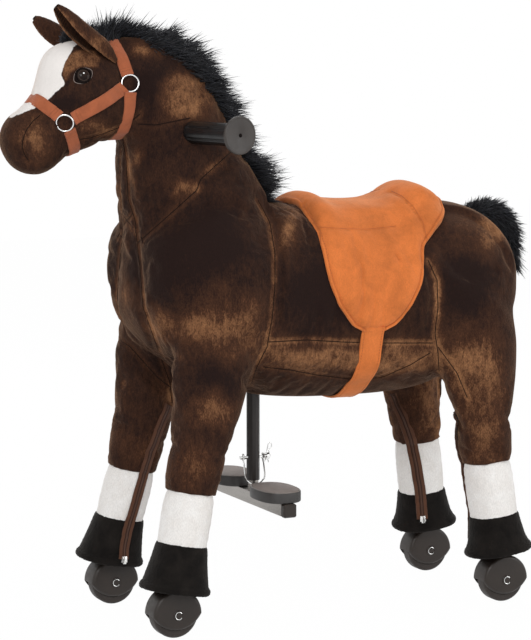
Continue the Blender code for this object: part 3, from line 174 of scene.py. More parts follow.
def sight_line(u, v):
    right, up, back = camera_axes()
    return (right * (u - IMAGE[0] / 2) + up * (IMAGE[1] / 2 - v) - back * FOCAL).normalized()


def seen_on(tree, track, step=1.0):
    """Points and normals on a surface under a track of image places, with its mirror image on the far side."""
    found = []
    for (u0, v0), (u1, v1) in zip(track, track[1:]):
        count = max(1, round(math.hypot(u1 - u0, v1 - v0) / step))
        for i in range(count + 1):
            line = sight_line(u0 + (u1 - u0) * i / count, v0 + (v1 - v0) * i / count)
            hit, normal, _, _ = tree.ray_cast(CAMERA, line)
            if hit is not None:
                found.append((hit, normal))
    return found


def image_place(co):
    """Image places of an array of points, each first brought to the near side."""
    right, up, back = (np.array(axis) for axis in camera_axes())
    away = np.column_stack((np.abs(co[:, 0]), co[:, 1], co[:, 2])) - np.array(CAMERA)
    depth = -(away @ back)
    return np.column_stack((IMAGE[0] / 2 + FOCAL * (away @ right) / depth, IMAGE[1] / 2 - FOCAL * (away @ up) / depth))


def inside_outline(places, outline):
    """Signed distance in image units from each place to a closed outline, above zero inside it."""
    corners = np.array(outline, dtype=float)
    inside = np.zeros(len(places), dtype=bool)
    far = np.full(len(places), 1e9)
    for a, b in zip(corners, np.roll(corners, -1, axis=0)):
        step = b - a
        share = np.clip(((places - a) @ step) / (step @ step), 0, 1)
        far = np.minimum(far, np.linalg.norm(places - a - share[:, None] * step, axis=1))
        crosses = (a[1] > places[:, 1]) != (b[1] > places[:, 1])
        level = step[1] if step[1] else 1e-9
        inside ^= crosses & (places[:, 0] < a[0] + (places[:, 1] - a[1]) * step[0] / level)
    return np.where(inside, far, -far)


def need(value, words):
    if not value:
        raise RuntimeError(words)
    return value


# Mesh helpers
def clear_selection():
    if bpy.context.object is not None and bpy.context.object.mode != "OBJECT":
        bpy.ops.object.mode_set(mode="OBJECT")
    bpy.ops.object.select_all(action="DESELECT")


def choose(obj):
    clear_selection()
    obj.select_set(True)
    bpy.context.view_layer.objects.active = obj
    return obj


def mesh_piece(name, vertices, faces):
    mesh = bpy.data.meshes.new(name)
    mesh.from_pydata([tuple(p) for p in vertices], [], faces)
    mesh.update()
    obj = bpy.data.objects.new(name, mesh)
    bpy.context.scene.collection.objects.link(obj)
    return obj


def apply_modifier(obj, kind, **settings):
    choose(obj)
    modifier = obj.modifiers.new(kind.title(), kind)
    for key, value in settings.items():
        setattr(modifier, key, value)
    bpy.ops.object.modifier_apply(modifier=modifier.name)
    return obj


def subdivided(obj, levels=1):
    return apply_modifier(obj, "SUBSURF", levels=levels, render_levels=levels)


def cut(obj, other, operation="DIFFERENCE"):
    apply_modifier(obj, "BOOLEAN", operation=operation, object=other, solver="EXACT")
    bpy.data.objects.remove(other, do_unlink=True)
    return obj


def joined(name, objects):
    clear_selection()
    for obj in objects:
        obj.select_set(True)
    bpy.context.view_layer.objects.active = objects[0]
    bpy.ops.object.join()
    obj = bpy.context.object
    obj.name = obj.data.name = name
    return obj


def prism(name, outline, centre, across, upward, reach):
    """A plate with a given outline, drawn out by reach to both sides of its middle."""
    outward = across.cross(upward).normalized()
    count = len(outline)
    points = []
    for side in (-1, 1):
        points += [centre + across * x + upward * y + outward * reach * side for x, y in outline]
    faces = [tuple(range(count)), tuple(range(count, 2 * count))]
    faces += [(i, (i + 1) % count, count + (i + 1) % count, count + i) for i in range(count)]
    return fix_normals(mesh_piece(name, points, faces))


def arc(radius, start, end, steps, centre=(0, 0)):
    points = []
    for step in range(steps + 1):
        angle = start + (end - start) * step / steps
        points.append((centre[0] + radius * math.cos(angle), centre[1] + radius * math.sin(angle)))
    return points


def rounded(obj, width, segments=3, angle=35):
    return apply_modifier(obj, "BEVEL", width=width, segments=segments, limit_method="ANGLE", angle_limit=math.radians(angle))


def cylinder(start, end, radius, sides=64):
    start, end = Vector(start), Vector(end)
    clear_selection()
    bpy.ops.mesh.primitive_cylinder_add(vertices=sides, radius=radius, depth=(end - start).length)
    obj = bpy.context.object
    turn = Z_AXIS.rotation_difference((end - start).normalized()).to_matrix().to_4x4()
    obj.data.transform(Matrix.Translation((start + end) / 2) @ turn)
    return obj


def box(low, high):
    low, high = Vector(low), Vector(high)
    clear_selection()
    bpy.ops.mesh.primitive_cube_add(size=1)
    obj = bpy.context.object
    obj.data.transform(Matrix.Translation((low + high) / 2) @ Matrix.Diagonal((*(high - low), 1)))
    return obj


def fuzzed(obj, amount, scale):
    """Roughens a plush surface with fine tufts."""
    mesh = obj.data
    co, normals = points_of(mesh), normals_of(mesh)
    lift = np.array([noise.noise(Vector(place) * scale) for place in co])
    put_points(mesh, co + normals * (lift * amount)[:, None])
    return obj


def stitches(name, marks, length=0.0026, thick=0.00045):
    """Sewing stitches, one low rounded bar for each mark of (place, direction along, normal)."""
    ring = 6
    vertices, faces = [], []
    for place, along, normal in marks:
        along = along.normalized()
        side = along.cross(normal).normalized()
        first = len(vertices)
        for share, swell in ((-0.5, 0.35), (-0.32, 1.0), (0.32, 1.0), (0.5, 0.35)):
            for k in range(ring):
                angle = 2 * math.pi * k / ring
                off = side * math.cos(angle) * thick + normal * math.sin(angle) * thick * 0.8
                vertices.append(place + along * share * length + off * swell)
        for s in range(3):
            for k in range(ring):
                a, b = first + s * ring + k, first + s * ring + (k + 1) % ring
                faces.append((a, b, b + ring, a + ring))
        faces.append(tuple(first + k for k in reversed(range(ring))))
        faces.append(tuple(first + 3 * ring + k for k in range(ring)))
    return mesh_piece(name, vertices, faces)


def marks_along(points, normals, pitch, lift=0.0):
    """Marks for stitches, evenly spaced on a line of points."""
    marks, gone, goal = [], 0.0, pitch / 2
    for i in range(len(points) - 1):
        step = (points[i + 1] - points[i]).length
        while step > 0 and goal <= gone + step:
            place = points[i].lerp(points[i + 1], (goal - gone) / step)
            marks.append((place + normals[i] * lift, points[i + 1] - points[i], normals[i]))
            goal += pitch
        gone += step
    return marks


def fix_normals(obj):
    choose(obj)
    bpy.ops.object.mode_set(mode="EDIT")
    bpy.ops.mesh.select_all(action="SELECT")
    bpy.ops.mesh.remove_doubles(threshold=0.00002)
    bpy.ops.mesh.normals_make_consistent(inside=False)
    bpy.ops.object.mode_set(mode="OBJECT")
    return obj


def finish_piece(obj, name, finish, angle=None):
    """Names a piece, gives it its material and smooth faces, and puts its place into its mesh."""
    choose(obj)
    bpy.ops.object.transform_apply(location=True, rotation=True, scale=True)
    obj.name = obj.data.name = name
    obj.data.materials.clear()
    for one in finish if isinstance(finish, (list, tuple)) else [finish]:
        obj.data.materials.append(material(one))
    if angle is None:
        bpy.ops.object.shade_smooth()
    else:
        bpy.ops.object.shade_smooth_by_angle(angle=math.radians(angle))
    return obj


def oval(centre, across, upward, half_across, reach_up, reach_down, count=8, fullness=2.3):
    """Cage points of one section, set out a little because subdivision draws them in."""
    swell = 3 / (2 + math.cos(2 * math.pi / count))
    points = []
    for step in range(count):
        angle = 2 * math.pi * (step + 0.5) / count
        c, s = math.cos(angle), math.sin(angle)
        reach = reach_up if s > 0 else reach_down
        x = math.copysign(abs(c) ** (2 / fullness), c) * half_across * swell
        z = math.copysign(abs(s) ** (2 / fullness), s) * reach * swell
        points.append(centre + across * x + upward * z)
    return points


def stuffed(name, rings, levels=3, flat_ends=False):
    """A closed form through oval sections, from a coarse cage with Subdivision Surface."""
    count = len(rings[0])
    points = [p for ring in rings for p in ring]
    faces = []
    for r in range(len(rings) - 1):
        for i in range(count):
            j = (i + 1) % count
            faces.append((r * count + i, r * count + j, (r + 1) * count + j, (r + 1) * count + i))
    last = (len(rings) - 1) * count
    faces.append(tuple(range(count)))
    faces.append(tuple(range(last, last + count)))
    obj = mesh_piece(name, points, faces)
    if flat_ends:
        creases = obj.data.attributes.new("crease_edge", "FLOAT", "EDGE")
        for edge in obj.data.edges:
            low, high = edge.vertices
            same = low // count == high // count
            creases.data[edge.index].value = 1.0 if same and low // count in (0, len(rings) - 1) else 0.0
    return fix_normals(subdivided(obj, levels))


def placed_tree(objects):
    """A search tree over the faces of some pieces."""
    whole = bmesh.new()
    for obj in objects:
        whole.from_mesh(obj.data)
    tree = BVHTree.FromBMesh(whole)
    whole.free()
    return tree


def points_of(mesh):
    co = np.empty(len(mesh.vertices) * 3)
    mesh.vertices.foreach_get("co", co)
    return co.reshape(-1, 3)


def put_points(mesh, co):
    mesh.vertices.foreach_set("co", co.ravel())
    mesh.update()


def edges_of(mesh):
    pairs = np.empty(len(mesh.edges) * 2, dtype=np.int32)
    mesh.edges.foreach_get("vertices", pairs)
    return pairs.reshape(-1, 2)


def normals_of(mesh):
    found = np.empty(len(mesh.vertices) * 3)
    mesh.vertex_normals.foreach_get("vector", found)
    return found.reshape(-1, 3)


def evened(co, pairs, weight, rounds):
    """Draws each point towards its neighbours."""
    count = len(co)
    degree = np.bincount(pairs.ravel(), minlength=count)[:, None]
    for _ in range(rounds):
        total = np.empty_like(co)
        for axis in range(3):
            total[:, axis] = np.bincount(pairs[:, 0], co[pairs[:, 1], axis], count)
            total[:, axis] += np.bincount(pairs[:, 1], co[pairs[:, 0], axis], count)
        co = co + weight[:, None] * (total / degree - co)
    return co


def nearest(points, co, reach=1.0):
    """Distance from each coordinate to the nearest of some points, and which point that is."""
    tree = KDTree(len(points))
    for i, point in enumerate(points):
        tree.insert(point, i)
    tree.balance()
    distance = np.full(len(co), reach)
    which = np.zeros(len(co), dtype=np.int32)
    for i, place in enumerate(co):
        _, index, far = tree.find(place)
        distance[i], which[i] = far, index
    return distance, which


def put_attribute(mesh, name, values, domain="POINT"):
    attribute = mesh.attributes.get(name) or mesh.attributes.new(name, "FLOAT", domain)
    attribute.data.foreach_set("value", np.asarray(values, dtype=np.float32))


def tube(name, points, radius, closed=False, resolution=3, smooth=True):
    """A round wire or cord through points, from a curve made into a mesh."""
    curve = bpy.data.curves.new(name, "CURVE")
    curve.dimensions = "3D"
    curve.bevel_depth = radius
    curve.bevel_resolution = resolution
    curve.use_fill_caps = True
    spline = curve.splines.new("POLY")
    spline.points.add(len(points) - 1)
    for point, place in zip(spline.points, points):
        point.co = (*place, 1)
    spline.use_cyclic_u = closed
    obj = bpy.data.objects.new(name, curve)
    bpy.context.scene.collection.objects.link(obj)
    choose(obj)
    bpy.ops.object.convert(target="MESH")
    return fix_normals(bpy.context.object)


def through(points, count):
    """Points spread evenly on a smooth line through given points."""
    points = [Vector(p) for p in points]
    fine = []
    for i in range(len(points) - 1):
        before = points[max(0, i - 1)]
        a, b = points[i], points[i + 1]
        after = points[min(len(points) - 1, i + 2)]
        for step in range(12):
            t = step / 12
            low = a * 2 + (b - before) * t + (before * 2 - a * 5 + b * 4 - after) * t * t
            fine.append((low + (a * 3 - before - b * 3 + after) * t ** 3) / 2)
    fine.append(points[-1])
    lengths = [0.0]
    for a, b in zip(fine, fine[1:]):
        lengths.append(lengths[-1] + (b - a).length)
    result = []
    for step in range(count):
        goal = lengths[-1] * step / (count - 1)
        i = max(0, min(len(fine) - 2, int(np.searchsorted(lengths, goal)) - 1))
        span = lengths[i + 1] - lengths[i]
        result.append(fine[i].lerp(fine[i + 1], 0 if span == 0 else (goal - lengths[i]) / span))
    return result


def strap(name, path, normals, width, thickness, closed=False, ends_round=0.0):
    """Flat tape along a path on a surface, with a UV map: U across it and V along it in metres."""
    section = ((-1, 0.1), (-0.97, 0.75), (-0.85, 1), (-0.3, 1), (0.3, 1), (0.85, 1), (0.97, 0.75), (1, 0.1))
    section += ((0.9, -0.2), (0, -0.2), (-0.9, -0.2))
    count = len(path)
    vertices, lengths = [], [0.0]
    for i, place in enumerate(path):
        before = path[i - 1] if closed or i else place
        after = path[(i + 1) % count] if closed or i < count - 1 else place
        along = (after - before).normalized()
        normal = normals[i].normalized()
        across = along.cross(normal).normalized()
        normal = across.cross(along)
        narrow = 1.0
        if ends_round and not closed:
            reach = min(i, count - 1 - i) / max(1, count - 1)
            narrow = min(1.0, 0.6 + reach / ends_round)
        for u, h in section:
            vertices.append(place + across * u * width / 2 * narrow + normal * h * thickness)
        if i:
            lengths.append(lengths[-1] + (place - path[i - 1]).length)
    size = len(section)
    faces = []
    for i in range(count if closed else count - 1):
        for j in range(size):
            k = (j + 1) % size
            n = (i + 1) % count
            faces.append((i * size + j, i * size + k, n * size + k, n * size + j))
    if not closed:
        faces.append(tuple(range(size)))
        faces.append(tuple(range((count - 1) * size, count * size)))
    obj = mesh_piece(name, vertices, faces)
    layer = obj.data.uv_layers.new(name="tape")
    total = lengths[-1] + ((path[0] - path[-1]).length if closed else 0)
    for polygon in obj.data.polygons:
        rows = {obj.data.loops[loop].vertex_index // size for loop in polygon.loop_indices}
        wraps = closed and rows == {0, count - 1}
        for loop in polygon.loop_indices:
            vertex = obj.data.loops[loop].vertex_index
            v = lengths[vertex // size]
            if wraps and vertex // size == 0:
                v = total
            layer.data[loop].uv = ((section[vertex % size][0] + 1) / 2, v)
    choose(obj)
    bpy.ops.object.mode_set(mode="EDIT")
    bpy.ops.mesh.select_all(action="SELECT")
    bpy.ops.mesh.normals_make_consistent(inside=False)
    bpy.ops.object.mode_set(mode="OBJECT")
    return obj


def turned(name, profile, centre, axis, sides=72):
    """A round piece: a circle drawn out and resized ring by ring in edit mode. Profile is (place, radius)."""
    clear_selection()
    place, radius = profile[0]
    bpy.ops.mesh.primitive_circle_add(vertices=sides, radius=radius, fill_type="NGON", location=(0, 0, place))
    obj = bpy.context.object
    bpy.ops.object.mode_set(mode="EDIT")
    bpy.ops.mesh.select_all(action="SELECT")
    for next_place, next_radius in profile[1:]:
        bpy.ops.mesh.extrude_region_move(TRANSFORM_OT_translate={"value": (0, 0, next_place - place)})
        share = next_radius / radius
        bpy.ops.transform.resize(value=(share, share, 1), center_override=(0, 0, next_place))
        place, radius = next_place, next_radius
    bpy.ops.mesh.select_all(action="SELECT")
    bpy.ops.mesh.normals_make_consistent(inside=False)
    bpy.ops.object.mode_set(mode="OBJECT")
    bpy.ops.object.transform_apply(location=True)
    turn = Z_AXIS.rotation_difference(Vector(axis).normalized()).to_matrix().to_4x4()
    obj.data.transform(Matrix.Translation(centre) @ turn)
    obj.name = obj.data.name = name
    return obj


def ring_at(name, centre, axis, radius, wire):
    clear_selection()
    bpy.ops.mesh.primitive_torus_add(major_radius=radius, minor_radius=wire, major_segments=48, minor_segments=12)
    obj = bpy.context.object
    turn = Z_AXIS.rotation_difference(Vector(axis).normalized()).to_matrix().to_4x4()
    obj.data.transform(Matrix.Translation(centre) @ turn)
    obj.name = obj.data.name = name
    return obj


def smooth_table(rows, place):
    """Values at place from rows of (place, value, ...), on smooth lines between the rows."""
    places = [row[0] for row in rows]
    place = min(max(place, places[0]), places[-1])
    i = min(len(rows) - 2, max(0, int(np.searchsorted(places, place)) - 1))
    share = (place - places[i]) / (places[i + 1] - places[i])
    result = []
    for k in range(1, len(rows[0])):
        values = [row[k] for row in rows]
        a, b = values[i], values[i + 1]
        before = values[max(0, i - 1)]
        after = values[min(len(rows) - 1, i + 2)]
        low = 2 * a + (b - before) * share + (2 * before - 5 * a + 4 * b - after) * share ** 2
        result.append((low + (3 * a - before - 3 * b + after) * share ** 3) / 2)
    return result


# Materials
GROUPS = {}


def add(tree, kind, inputs=None, **settings):
    """A node with its settings, and with values or links on its inputs."""
    node = tree.nodes.new(kind)
    for key, value in settings.items():
        setattr(node, key, value)
    for key, value in (inputs or {}).items():
        if isinstance(value, bpy.types.NodeSocket):
            tree.links.new(value, node.inputs[key])
        else:
            node.inputs[key].default_value = value
    return node


def math_node(tree, operation, a, b=0.0, clamp=False):
    return add(tree, "ShaderNodeMath", {0: a, 1: b}, operation=operation, use_clamp=clamp).outputs[0]


def mix_colour(tree, factor, a, b, blend="MIX"):
    node = add(tree, "ShaderNodeMix", data_type="RGBA", blend_type=blend)
    for index, value in ((0, factor), (6, a), (7, b)):
        if isinstance(value, bpy.types.NodeSocket):
            tree.links.new(value, node.inputs[index])
        else:
            node.inputs[index].default_value = value
    return node.outputs[2]


def spread(tree, value, low, high, new_low=0.0, new_high=1.0):
    inputs = {"Value": value, "From Min": low, "From Max": high, "To Min": new_low, "To Max": new_high}
    return add(tree, "ShaderNodeMapRange", inputs, clamp=True).outputs[0]


def stretched(tree, coordinate, scale):
    return add(tree, "ShaderNodeMapping", {"Vector": coordinate, "Scale": scale}).outputs[0]


def speckle(tree, coordinate, scale, detail=2.0, roughness=0.5, distortion=0.0):
    inputs = {"Vector": coordinate, "Scale": scale, "Detail": detail, "Roughness": roughness}
    inputs["Distortion"] = distortion
    return add(tree, "ShaderNodeTexNoise", inputs).outputs[0]


def effect(name, inputs, outputs, build):
    """A shared effect as a node group, built once."""
    if name in GROUPS:
        return GROUPS[name]
    tree = bpy.data.node_groups.new(name, "ShaderNodeTree")
    for label, kind, default in inputs:
        socket = tree.interface.new_socket(label, in_out="INPUT", socket_type=kind)
        if default is not None:
            socket.default_value = default
    for label, kind in outputs:
        tree.interface.new_socket(label, in_out="OUTPUT", socket_type=kind)
    start = tree.nodes.new("NodeGroupInput")
    end = tree.nodes.new("NodeGroupOutput")
    for label, socket in build(tree, start.outputs).items():
        tree.links.new(socket, end.inputs[label])
    GROUPS[name] = tree
    return tree


def use(tree, group, inputs):
    node = tree.nodes.new("ShaderNodeGroup")
    node.node_tree = group
    for key, value in inputs.items():
        if isinstance(value, bpy.types.NodeSocket):
            tree.links.new(value, node.inputs[key])
        else:
            node.inputs[key].default_value = value
    return node.outputs


def pile_effect():
    """Plush pile: brushed patches, clumps of hair and fine fuzz."""
    inputs = [("Place", "NodeSocketVector", None), ("Patch Scale", "NodeSocketFloat", 26.0)]
    inputs += [("Clump Scale", "NodeSocketFloat", 170.0), ("Fuzz Scale", "NodeSocketFloat", 900.0)]

    def build(tree, given):
        patch = speckle(tree, given["Place"], given["Patch Scale"], 4.0, 0.62, 0.4)
        brushed = stretched(tree, given["Place"], (1.0, 1.0, 0.45))
        clump = speckle(tree, brushed, given["Clump Scale"], 3.0, 0.6, 0.6)
        combed = stretched(tree, given["Place"], (1.0, 1.0, 0.35))
        fuzz = speckle(tree, combed, given["Fuzz Scale"], 2.0, 0.6)
        height = math_node(tree, "ADD", math_node(tree, "MULTIPLY", clump, 0.6), math_node(tree, "MULTIPLY", fuzz, 0.4))
        return {"Patches": patch, "Clumps": clump, "Fuzz": fuzz, "Height": height}

    outputs = [(label, "NodeSocketFloat") for label in ("Patches", "Clumps", "Fuzz", "Height")]
    return effect("Plush Pile", inputs, outputs, build)


def grain_effect():
    """Moulded or coated surface: soft unevenness, fine grain and handling marks."""
    inputs = [("Place", "NodeSocketVector", None), ("Grain Scale", "NodeSocketFloat", 700.0)]

    def build(tree, given):
        broad = speckle(tree, given["Place"], 18.0, 3.0, 0.6)
        grain = speckle(tree, given["Place"], given["Grain Scale"], 2.0, 0.6)
        marks = speckle(tree, stretched(tree, given["Place"], (1.0, 4.0, 1.0)), 60.0, 4.0, 0.7)
        return {"Broad": broad, "Grain": grain, "Marks": marks}

    outputs = [(label, "NodeSocketFloat") for label in ("Broad", "Grain", "Marks")]
    return effect("Surface Grain", inputs, outputs, build)


def weave_effect():
    """Woven tape from its UV map: ribs across it and a fine twill."""
    inputs = [("Tape", "NodeSocketVector", None), ("Width", "NodeSocketFloat", 0.018)]
    inputs += [("Thread", "NodeSocketFloat", 0.0011)]

    def build(tree, given):
        parts = add(tree, "ShaderNodeSeparateXYZ", {0: given["Tape"]}).outputs
        across = math_node(tree, "DIVIDE", math_node(tree, "MULTIPLY", parts[0], given["Width"]), given["Thread"])
        along = math_node(tree, "DIVIDE", parts[1], given["Thread"])
        turn = 2 * math.pi
        first = math_node(tree, "SINE", math_node(tree, "MULTIPLY", math_node(tree, "ADD", across, along), turn))
        second = math_node(tree, "SINE", math_node(tree, "MULTIPLY", along, turn))
        height = math_node(tree, "MULTIPLY_ADD", math_node(tree, "ADD", first, second), 0.25)
        tree.nodes[-1].inputs[2].default_value = 0.5
        edge = math_node(tree, "ABSOLUTE", math_node(tree, "SUBTRACT", parts[0], 0.5))
        hem = spread(tree, edge, 0.40, 0.47)
        return {"Height": height, "Hem": hem}

    return effect("Woven Tape", inputs, [("Height", "NodeSocketFloat"), ("Hem", "NodeSocketFloat")], build)


def new_material(name):
    made = bpy.data.materials.new(name)
    made.use_nodes = True
    tree = made.node_tree
    tree.nodes.clear()
    shader = add(tree, "ShaderNodeBsdfPrincipled")
    out = add(tree, "ShaderNodeOutputMaterial")
    tree.links.new(shader.outputs[0], out.inputs["Surface"])
    place = add(tree, "ShaderNodeTexCoord").outputs["Object"]
    return made, tree, shader, place


def connect(tree, shader, name, value):
    if isinstance(value, bpy.types.NodeSocket):
        tree.links.new(value, shader.inputs[name])
    else:
        shader.inputs[name].default_value = value


def bump(tree, shader, height, distance, strength=1.0):
    inputs = {"Height": height, "Distance": distance, "Strength": strength}
    tree.links.new(add(tree, "ShaderNodeBump", inputs).outputs[0], shader.inputs["Normal"])


def attribute(tree, name):
    return add(tree, "ShaderNodeAttribute", attribute_name=name).outputs["Fac"]


def rgba(colour, share=1.0):
    return (colour[0] * share, colour[1] * share, colour[2] * share, 1.0)


def brown_plush():
    made, tree, shader, place = new_material("brown_plush_pile")
    colours = bpy.context.scene.horse_colours
    pile = use(tree, pile_effect(), {"Place": place})
    # This attribute carries the nap's painted highlights and painted shade; the noise below adds tone that differs at
    # random.
    tone_and_painted_light = attribute(tree, "tone_and_painted_light")
    rough = math_node(tree, "ADD", spread(tree, pile["Patches"], 0.3, 0.7, -0.34, 0.34), spread(tree, pile["Clumps"], 0.3, 0.7, -0.36, 0.36))
    rough = math_node(tree, "ADD", rough, spread(tree, pile["Fuzz"], 0.3, 0.7, -0.20, 0.20))
    amount = spread(tree, tone_and_painted_light, 0.05, 0.75, 0.16, 0.62)
    tone = math_node(tree, "ADD", tone_and_painted_light, math_node(tree, "MULTIPLY", rough, amount))
    shade = attribute(tree, "shade")
    colour = mix_colour(tree, spread(tree, tone, 0.05, 0.50), rgba(colours.plush_dark), rgba(colours.plush_mid))
    colour = mix_colour(tree, spread(tree, tone, 0.45, 1.05), colour, rgba(colours.plush_gold))
    fuzz = spread(tree, pile["Fuzz"], 0.3, 0.7, 0.72, 1.28)
    fuzz_colour = add(tree, "ShaderNodeCombineXYZ", {0: fuzz, 1: fuzz, 2: fuzz}).outputs[0]
    colour = mix_colour(tree, 1.0, colour, fuzz_colour, "MULTIPLY")
    ragged = spread(tree, pile["Clumps"], 0.3, 0.7, -0.0009, 0.0009)
    blaze = math_node(tree, "ADD", attribute(tree, "blaze"), ragged)
    white = mix_colour(tree, spread(tree, pile["Patches"], 0.3, 0.7), rgba(colours.blaze, 0.92), rgba(colours.blaze))
    colour = mix_colour(tree, spread(tree, blaze, -0.0005, 0.0005), colour, white)
    # Painted shade along the seams: a darker copy of the dark plush.
    colour = mix_colour(tree, shade, colour, rgba(colours.plush_dark, 0.35))
    connect(tree, shader, "Base Color", colour)
    shader.inputs["Roughness"].default_value = 0.85
    shader.inputs["Specular IOR Level"].default_value = 0.15
    shader.inputs["Sheen Weight"].default_value = 0.36
    shader.inputs["Sheen Tint"].default_value = (1.0, 0.70, 0.52, 1.0)
    shader.inputs["Sheen Roughness"].default_value = 0.30
    shader.inputs["Sheen Tint"].default_value = rgba((0.72, 0.42, 0.24))
    bump(tree, shader, pile["Height"], 0.0016, 0.8)
    return made


def plain_plush(name, colour, second, sheen, tint):
    made, tree, shader, place = new_material(name)
    pile = use(tree, pile_effect(), {"Place": place, "Patch Scale": 40.0})
    base = mix_colour(tree, spread(tree, pile["Patches"], 0.35, 0.7), rgba(colour), rgba(second))
    fuzz = spread(tree, pile["Fuzz"], 0.3, 0.7, 0.88, 1.08)
    base = mix_colour(tree, 1.0, base, add(tree, "ShaderNodeCombineXYZ", {0: fuzz, 1: fuzz, 2: fuzz}).outputs[0], "MULTIPLY")
    connect(tree, shader, "Base Color", base)
    shader.inputs["Roughness"].default_value = 0.9
    shader.inputs["Specular IOR Level"].default_value = 0.12
    shader.inputs["Sheen Weight"].default_value = sheen
    shader.inputs["Sheen Roughness"].default_value = 0.4
    shader.inputs["Sheen Tint"].default_value = rgba(tint)
    bump(tree, shader, pile["Height"], 0.0012, 0.7)
    return made


def black_fur():
    made, tree, shader, place = new_material("black_fur_strands")
    colours = bpy.context.scene.horse_colours
    along = attribute(tree, "along")
    strand = attribute(tree, "strand")
    tone = math_node(tree, "MULTIPLY", spread(tree, along, 0.2, 1.0), spread(tree, strand, 0.3, 1.0))
    colour = mix_colour(tree, tone, rgba(colours.fur), rgba(colours.fur_tips))
    connect(tree, shader, "Base Color", colour)
    fine = speckle(tree, place, 900.0, 2.0)
    connect(tree, shader, "Roughness", spread(tree, fine, 0.3, 0.7, 0.48, 0.68))
    shader.inputs["Specular IOR Level"].default_value = 0.3
    shader.inputs["Sheen Weight"].default_value = 0.12
    shader.inputs["Sheen Tint"].default_value = rgba((0.55, 0.6, 0.75))
    return made


def orange_felt():
    made, tree, shader, place = new_material("orange_velour")
    colours = bpy.context.scene.horse_colours
    pile = use(tree, pile_effect(), {"Place": place, "Patch Scale": 22.0, "Clump Scale": 240.0})
    tone = math_node(tree, "MULTIPLY_ADD", pile["Patches"], 0.8)
    tree.nodes[-1].inputs[2].default_value = 0.0
    tone = math_node(tree, "ADD", tone, math_node(tree, "MULTIPLY", pile["Clumps"], 0.2))
    colour = mix_colour(tree, spread(tree, tone, 0.36, 0.62), rgba(colours.felt, 0.84), rgba(colours.felt, 1.14))
    # Painted shade in the seams and along the hem: a darker copy of the felt.
    colour = mix_colour(tree, attribute(tree, "shade"), colour, rgba(colours.felt, 0.42))
    fuzz = spread(tree, pile["Fuzz"], 0.3, 0.7, 0.90, 1.08)
    colour = mix_colour(tree, 1.0, colour, add(tree, "ShaderNodeCombineXYZ", {0: fuzz, 1: fuzz, 2: fuzz}).outputs[0], "MULTIPLY")
    connect(tree, shader, "Base Color", colour)
    shader.inputs["Roughness"].default_value = 0.88
    shader.inputs["Specular IOR Level"].default_value = 0.15
    shader.inputs["Sheen Weight"].default_value = 0.45
    shader.inputs["Sheen Roughness"].default_value = 0.4
    shader.inputs["Sheen Tint"].default_value = rgba((1.0, 0.62, 0.38))
    bump(tree, shader, pile["Height"], 0.0009, 0.7)
    return made


def tape(name, colour, width, second=None, lines=False):
    made, tree, shader, place = new_material(name)
    uv = add(tree, "ShaderNodeUVMap", uv_map="tape").outputs[0]
    weave = use(tree, weave_effect(), {"Tape": uv, "Width": width})
    wear = speckle(tree, place, 55.0, 3.0, 0.6)
    base = mix_colour(tree, spread(tree, wear, 0.35, 0.7), rgba(colour, 0.82), rgba(colour, 1.08))
    # Darker in the hollows of the weave: painted shade.
    base = mix_colour(tree, spread(tree, weave["Height"], 0.2, 0.8, 0.25, 0.0), base, rgba(colour, 0.5))
    base = mix_colour(tree, math_node(tree, "MULTIPLY", weave["Hem"], 0.35), base, rgba(second or colour, 0.6))
    if lines:
        edge = math_node(tree, "SUBTRACT", add(tree, "ShaderNodeSeparateXYZ", {0: uv}).outputs[0], 0.5)
        edge = math_node(tree, "ABSOLUTE", edge)
        line = math_node(tree, "MULTIPLY", spread(tree, edge, 0.07, 0.11), spread(tree, edge, 0.21, 0.16))
        base = mix_colour(tree, line, base, rgba(colour, 0.22))
    connect(tree, shader, "Base Color", base)
    shader.inputs["Roughness"].default_value = 0.78
    shader.inputs["Specular IOR Level"].default_value = 0.25
    shader.inputs["Sheen Weight"].default_value = 0.15
    bump(tree, shader, weave["Height"], 0.0003, 0.8)
    return made


def dulled(made, level):
    """Takes the reflections of a material down."""
    shader = next(node for node in made.node_tree.nodes if node.type == "BSDF_PRINCIPLED")
    shader.inputs["Specular IOR Level"].default_value = level
    return made


def plastic(name, colour, rough, grain_scale=900.0, depth=0.00012):
    made, tree, shader, place = new_material(name)
    grain = use(tree, grain_effect(), {"Place": place, "Grain Scale": grain_scale})
    base = mix_colour(tree, spread(tree, grain["Broad"], 0.35, 0.7), rgba(colour, 0.8), rgba(colour, 1.2))
    base = mix_colour(tree, spread(tree, grain["Marks"], 0.62, 0.8, 0.0, 0.25), base, rgba(colour, 2.2))
    connect(tree, shader, "Base Color", base)
    connect(tree, shader, "Roughness", spread(tree, grain["Marks"], 0.3, 0.75, rough - 0.08, rough + 0.1))
    shader.inputs["Specular IOR Level"].default_value = 0.45
    bump(tree, shader, grain["Grain"], depth, 0.6)
    return made


def metal(name, colour, rough, brushed=(1.0, 1.0, 12.0)):
    made, tree, shader, place = new_material(name)
    grain = use(tree, grain_effect(), {"Place": stretched(tree, place, brushed), "Grain Scale": 500.0})
    base = mix_colour(tree, spread(tree, grain["Broad"], 0.3, 0.7), rgba(colour, 0.86), rgba(colour))
    connect(tree, shader, "Base Color", base)
    connect(tree, shader, "Roughness", spread(tree, grain["Grain"], 0.3, 0.7, rough - 0.06, rough + 0.08))
    shader.inputs["Metallic"].default_value = 1.0
    bump(tree, shader, grain["Grain"], 0.00005, 0.5)
    return made


def coated_steel(name, colour):
    made = plastic(name, colour, 0.42, 1400.0, 0.00008)
    shader = made.node_tree.nodes["Principled BSDF"]
    shader.inputs["Coat Weight"].default_value = 0.25
    shader.inputs["Coat Roughness"].default_value = 0.3
    return made


